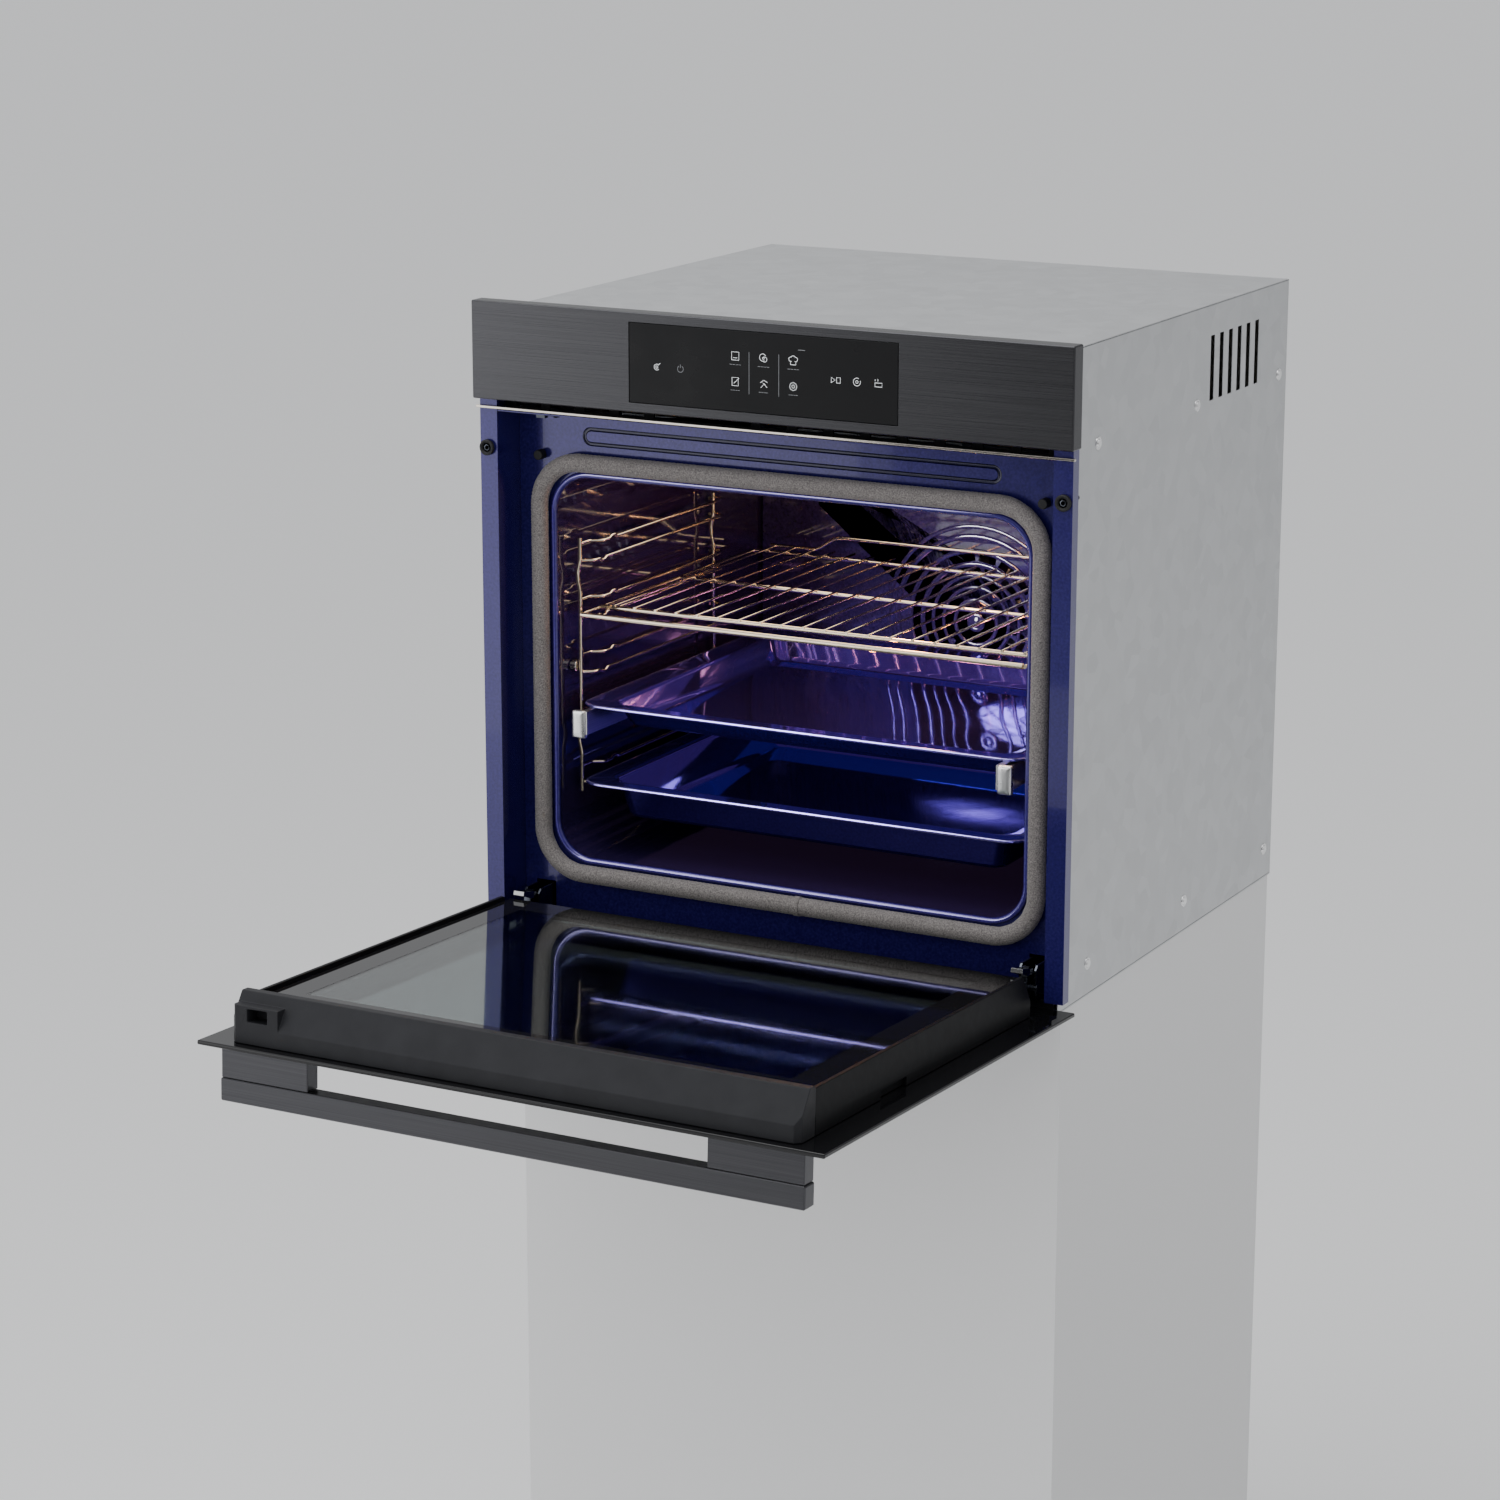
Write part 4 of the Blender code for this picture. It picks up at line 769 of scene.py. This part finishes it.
def housing_screws():
    """Pan-head screws that hold the side sheets and the back."""
    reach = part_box("housing_right")[1].x
    back_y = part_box("housing_back")[1].y
    places = [((side * reach, y, z), Matrix.Rotation(math.radians(90 * side), 4, "Y"))
              for side in (-1, 1) for y in (0.075, 0.300, back_y - 0.020) for z in (0.030, 0.500)]
    places += [((x, back_y, z), Matrix.Rotation(math.radians(-90), 4, "X"))
               for x in (-0.25, 0.0, 0.25) for z in (0.030, 0.400, 0.545)]
    bm = bmesh.new()
    for place, turn in places:
        for foot, crown, height in ((0.0044, 0.0036, 0.0018), (0.0058, 0.0056, 0.0007)):
            stood = Matrix.Translation(place) @ turn @ Matrix.Translation((0, 0, height / 2))
            bmesh.ops.create_cone(bm, cap_ends=True, segments=24, radius1=foot, radius2=crown, depth=height,
                                  matrix=stood)
    add_piece("housing_screws", bm, "bright_cap", "oven_body", 30.0)


# ---- display ------------------------------------------------------------------------------
DISPLAY_Y = -0.02002
STROKE = 0.00019


def arc(cx, cz, radius, start, end, steps=24):
    points = []
    for i in range(steps + 1):
        turn = math.radians(start + (end - start) * i / steps)
        points.append((cx + radius * math.cos(turn), cz + radius * math.sin(turn)))
    return points


def circle(radius, steps):
    return arc(0, 0, radius, 0, 360, steps)


def outline(left, low, right, high):
    return [(left, low), (right, low), (right, high), (left, high), (left, low)]


def strokes(name, lines, look):
    """Thin printed lines on the display, each a list of (x, z) points in millimetres."""
    bm = bmesh.new()
    for line in lines:
        sweep(bm, [Vector((x * MM, DISPLAY_Y, z * MM)) for x, z in line], round_section(STROKE, 6))
    add_piece(name, bm, look, "oven_body")


def pictograms():
    """Generic pictograms: each one's place on the display and its lines round that place, in millimetres."""
    side_z, upper_z, lower_z, right_z = 551.0, 566.6, 544.0, 552.7
    dial = [arc(0, 0, 2.6, 40, 320), circle(1.1, 12), [(1.6, 2.2), (3.6, 3.6)]]
    page = [outline(-3.6, -3.6, 3.6, 3.6), [(-2, -1.6), (2, -1.6)]]
    swirl = [arc(-0.6, 0.6, 3.2, 30, 300), arc(1.2, -1.0, 2.2, -120, 150), circle(0.9, 10)]
    hat = [[(-2.6, -3.6), (2.6, -3.6), (2.6, -0.6)], [(-2.6, -3.6), (-2.6, -0.6)],
           arc(-2.4, 1.2, 1.9, 80, 300), arc(0, 2.2, 2.1, 20, 160), arc(2.4, 1.2, 1.9, -120, 100)]
    note = [outline(-3.2, -3.6, 3.0, 3.6), [(-1.4, -1.6), (3.8, 3.4)]]
    peaks = [[(-3.6, 1.0), (0, 3.4), (3.4, 1.4)], [(-3.0, -3.4), (0, 0), (3.0, -3.0)],
             [(-1.2, 1.0), (1.4, -0.6)]]
    cog = [circle(3.6, 8), circle(1.4, 14)]
    start = [[(-4.4, -2.4), (-4.4, 2.4), (-0.6, 0), (-4.4, -2.4)],
             [(0.8, -2.4), (0.8, 2.4), (4.4, 2.4), (4.4, -2.4), (0.8, -2.4)]]
    clock = [arc(0, 0, 3.4, 60, 380), circle(1.2, 12)]
    pot = [[(-3.4, 0.6), (-3.4, -2.8), (3.4, -2.8), (3.4, 0.6), (-3.4, 0.6)],
           [(-0.6, 2.0), (-0.6, 4.0)], [(-3.2, 2.0), (-3.2, 3.6)]]
    return ((-104.7, side_z, dial), (-25.8, upper_z, page), (2.1, upper_z, swirl), (31.4, upper_z, hat),
            (-25.8, lower_z, note), (2.7, lower_z, peaks), (31.5, lower_z, cog),
            (73.0, right_z, start), (93.4, right_z, clock), (114.2, right_z, pot))


def faint_marks():
    """Standby ring, dividers, and rows of plain dashes where captions would be, in millimetres."""
    standby_x, standby_z = -80.8, 551.0
    lines = [arc(standby_x, standby_z, 2.9, 120, 420), [(standby_x, 552.0), (standby_x, 555.0)]]
    lines += [[(x, 534.0), (x, 571.0)] for x in (-12.1, 17.3)]
    for x, width in ((-25.8, 11.0), (2.2, 11.5), (31.4, 11.0)):
        for z, share in ((559.0, 1.0), (536.4, 0.8)):
            half = width * share / 2
            for start, end in ((-1.0, -0.55), (-0.45, 0.0), (0.15, 0.5), (0.6, 1.0)):
                lines.append([(x + half * start, z), (x + half * end, z)])
    lines.append([(36.0, 576.3), (43.0, 576.3)])
    return lines


def display_marks():
    bright = [[(cx + x, cz + z) for x, z in line] for cx, cz, icon in pictograms() for line in icon]
    strokes("display_icons", bright, "icon")
    strokes("display_dim_marks", faint_marks(), "icon_dim")


# ---- door glass border ----------------------------------------------------------------------
def opened(y, z):
    """Turns a point of the closed door's section, in millimetres, to the open rest pose."""
    hinge = JOINTS["door_hinge"]
    axis_y, axis_z = hinge["pos_m"][1], hinge["pos_m"][2]
    turn = -math.radians(min(hinge["range_deg"]))
    across, up = math.cos(turn), math.sin(turn)
    dy, dz = y * MM - axis_y, z * MM - axis_z
    return (axis_y + dy * across - dz * up, axis_z + dy * up + dz * across)


def door_point(x, y, z):
    return Vector((x * MM, *opened(y, z)))


def frit():
    """Printed black border on the inner pane, drawn on the closed door in millimetres."""
    print_y, glass_y = 18.03, 18.10
    outer = outline(-261.0, 53.0, 261.0, 461.0)[:4]
    inner = outline(-232.0, 84.0, 232.0, 432.0)[:4]
    bm = bmesh.new()
    rows = []
    for loop, y in ((outer, print_y), (inner, print_y), (inner, glass_y), (outer, glass_y)):
        rows.append([bm.verts.new(door_point(x, y, z)) for x, z in loop])
    skin(bm, rows, looped=True)
    add_piece("inner_glass_border", bm, "frit", "door")


# ---- camera, lights and stage ----------------------------------------------------------------
def camera():
    """The main view: from the front right, looking a little down."""
    turn, dip = math.radians(28.26), math.radians(14.28)
    data = bpy.data.cameras.new("camera")
    data.lens = 97.3
    data.sensor_width = 36.0
    made = bpy.data.objects.new("camera", data)
    made.location = (1.652, -3.114, 1.107)
    made.rotation_euler = Euler((math.radians(90) - dip, 0.0, turn), "XYZ")
    bpy.context.scene.collection.objects.link(made)
    bpy.context.scene.camera = made


def area_light(name, place, target, size, power, colour=(1, 1, 1)):
    """A rectangular light that faces its target."""
    data = bpy.data.lights.new(name, "AREA")
    data.shape = "RECTANGLE"
    data.size, data.size_y = size
    data.energy = power
    data.color = colour
    made = bpy.data.objects.new(name, data)
    made.location = place
    made.rotation_euler = (Vector(target) - Vector(place)).to_track_quat("-Z", "Y").to_euler()
    made.visible_camera = False
    bpy.context.scene.collection.objects.link(made)
    return made


def point_light(name, place, power, colour, radius):
    data = bpy.data.lights.new(name, "POINT")
    data.energy = power
    data.color = colour
    data.shadow_soft_size = radius
    made = bpy.data.objects.new(name, data)
    made.location = place
    made.visible_camera = False
    bpy.context.scene.collection.objects.link(made)
    return made


def studio_world():
    """A soft room, brightest at the upper left in front of the oven."""
    world = bpy.data.worlds.new("studio")
    world.use_nodes = True
    tree = world.node_tree
    background = tree.nodes["Background"]
    coords = tree.nodes.new("ShaderNodeTexCoord")
    dot = tree.nodes.new("ShaderNodeVectorMath")
    dot.operation = "DOT_PRODUCT"
    dot.inputs[1].default_value = (-0.61, -0.61, 0.51)
    spread = tree.nodes.new("ShaderNodeMapRange")
    spread.inputs["From Min"].default_value = -1.0
    spread.inputs["To Min"].default_value = 0.16
    spread.inputs["To Max"].default_value = 1.10
    tree.links.new(coords.outputs["Generated"], dot.inputs[0])
    tree.links.new(dot.outputs["Value"], spread.inputs["Value"])
    tree.links.new(spread.outputs["Result"], background.inputs["Strength"])
    background.inputs["Color"].default_value = (0.97, 0.98, 1.0, 1.0)
    bpy.context.scene.world = world


def light_only(light, names):
    """Limits a light to the named pieces."""
    group = bpy.data.collections.new(light.name + "_targets")
    for name in names:
        group.objects.link(bpy.data.objects[name])
    light.light_linking.receiver_collection = group


REAR = ("rear_baffle_fine", "fan_cover_rings", "fan_cover_hub")
TRAYS = ("upper_tray_pan", "lower_tray_pan")
BEADS = ("upper_tray_bead", "lower_tray_bead", "mouth_lip")
RACKS = ("rack_wires", "ladder_left", "ladder_right", "slide_cap_left", "slide_cap_right")
VIOLET = (0.74, 0.36, 1.0)
COOL = (0.95, 0.92, 1.0)
BLUISH = (0.92, 0.92, 1.0)
LILAC = (0.8, 0.75, 1.0)
WARM = (1.0, 0.86, 0.70)
AMBER = (1.0, 0.50, 0.24)
EMBER = (1.0, 0.36, 0.10)
DEEP_EMBER = (1.0, 0.36, 0.08)


def room_lights():
    """A large window at the left, a soft box overhead, and accents for the panel and the bright edges."""
    area_light("window", (-3.15, -3.20, 0.25), (0, 0, 0.25), (3.0, 2.3), 20.0)
    area_light("top", (-0.4, -0.5, 3.0), (0, 0.1, 0.2), (2.4, 1.8), 45.0)
    panel = area_light("panel_glow", (-3.4, -2.9, 0.25), (-0.1, 0, 0.5), (1.8, 1.8), 27.0)
    light_only(panel, ("control_panel_fine",))
    rim = area_light("rim_light", (-0.90, -1.60, 0.90), (0, 0.05, 0.2), (1.1, 0.45), 4.0)
    light_only(rim, RACKS)
    bead = area_light("bead_light", (-0.95, -1.60, 0.95), (0, 0.05, 0.2), (0.7, 1.9), 44.0, COOL)
    light_only(bead, BEADS)
    rear = area_light("rear_glint", (-0.76, -1.20, 0.68), (0, 0.43, 0.24), (0.8, 0.7), 95.0, BLUISH)
    light_only(rear, REAR)


def cavity_lights():
    """The oven lamp, its small embers on bright wire, and violet glows over the trays and the floor."""
    for name, z, power in (("upper_tray_pan", 0.288, 0.050), ("lower_tray_pan", 0.182, 0.045),
                           ("cavity_liner", 0.100, 0.013)):
        glow = area_light(name + "_glow", (0.0, 0.22, z), (0.0, 0.22, 0.0), (0.44, 0.38), power, VIOLET)
        light_only(glow, (name,))
    glint = area_light("low_glint", (0.03, 0.415, 0.178), (0.02, 0.0, 0.172), (0.20, 0.022), 0.022, LILAC)
    glint.data.shape = "ELLIPSE"
    light_only(glint, ("lower_tray_pan",))
    rack = area_light("rack_glow", (0.0, 0.20, 0.436), (0.0, 0.20, 0.2), (0.40, 0.30), 1.1, WARM)
    light_only(rack, RACKS)
    for number, place in enumerate(((0.068, 0.060, 0.2855), (0.150, 0.246, 0.290))):
        light_only(point_light(f"ember_{number}", place, 0.030, EMBER, 0.003), (*RACKS, *TRAYS))
    point_light("oven_lamp", (0.035, 0.165, 0.412), 1.3, AMBER, 0.022)
    light_only(point_light("fan_glow", (0.004, 0.430, 0.258), 0.035, DEEP_EMBER, 0.003), REAR)


FLOOR_Z = -0.90


def stage_piece(name, bm, tone, roughness):
    mesh = bpy.data.meshes.new(name)
    bm.to_mesh(mesh)
    bm.free()
    made = bpy.data.objects.new(name, mesh)
    bpy.context.scene.collection.objects.link(made)
    mesh.materials.append(new_material("pale_" + name, (tone, tone, tone), roughness))
    return made


def stage():
    """A wide floor, a plinth under the housing, and a dark screen behind the camera for the reflections."""
    bm = bmesh.new()
    bmesh.ops.create_grid(bm, x_segments=1, y_segments=1, size=60.0)
    bmesh.ops.translate(bm, verts=bm.verts, vec=(0, 0, FLOOR_Z))
    stage_piece("floor", bm, 0.94, 0.8)
    gap = 0.001
    bm = bmesh.new()
    bmesh.ops.create_cube(bm, size=1.0)
    bmesh.ops.scale(bm, verts=bm.verts, vec=(0.556, 0.50, -FLOOR_Z - gap))
    bmesh.ops.translate(bm, verts=bm.verts, vec=(0, 0.272, (FLOOR_Z - gap) / 2))
    stage_piece("pedestal", bm, 0.84, 0.7)
    bm = bmesh.new()
    bmesh.ops.create_grid(bm, x_segments=1, y_segments=1, size=0.5)
    bmesh.ops.scale(bm, verts=bm.verts, vec=(5.1, 3.4, 1.0))
    bmesh.ops.rotate(bm, verts=bm.verts, matrix=Matrix.Rotation(math.radians(90), 3, "X"))
    bmesh.ops.translate(bm, verts=bm.verts, vec=(0.45, -4.45, 0.85))
    screen = stage_piece("screen", bm, 0.10, 0.9)
    screen.visible_camera = False
    screen.visible_diffuse = False


paint_cad_nodes()
refine_sheet_and_mouldings()
gasket()
gasket_sleeve()
mouth_lip()
wire_rack()
side_racks()
slide_caps()
fan_cover()
face_groove()
screw_details()
housing_screws()
tray("upper_tray")
tray("lower_tray")
tray_bead("upper_tray")
tray_bead("lower_tray")
display_marks()
frit()
camera()
studio_world()
room_lights()
cavity_lights()
stage()
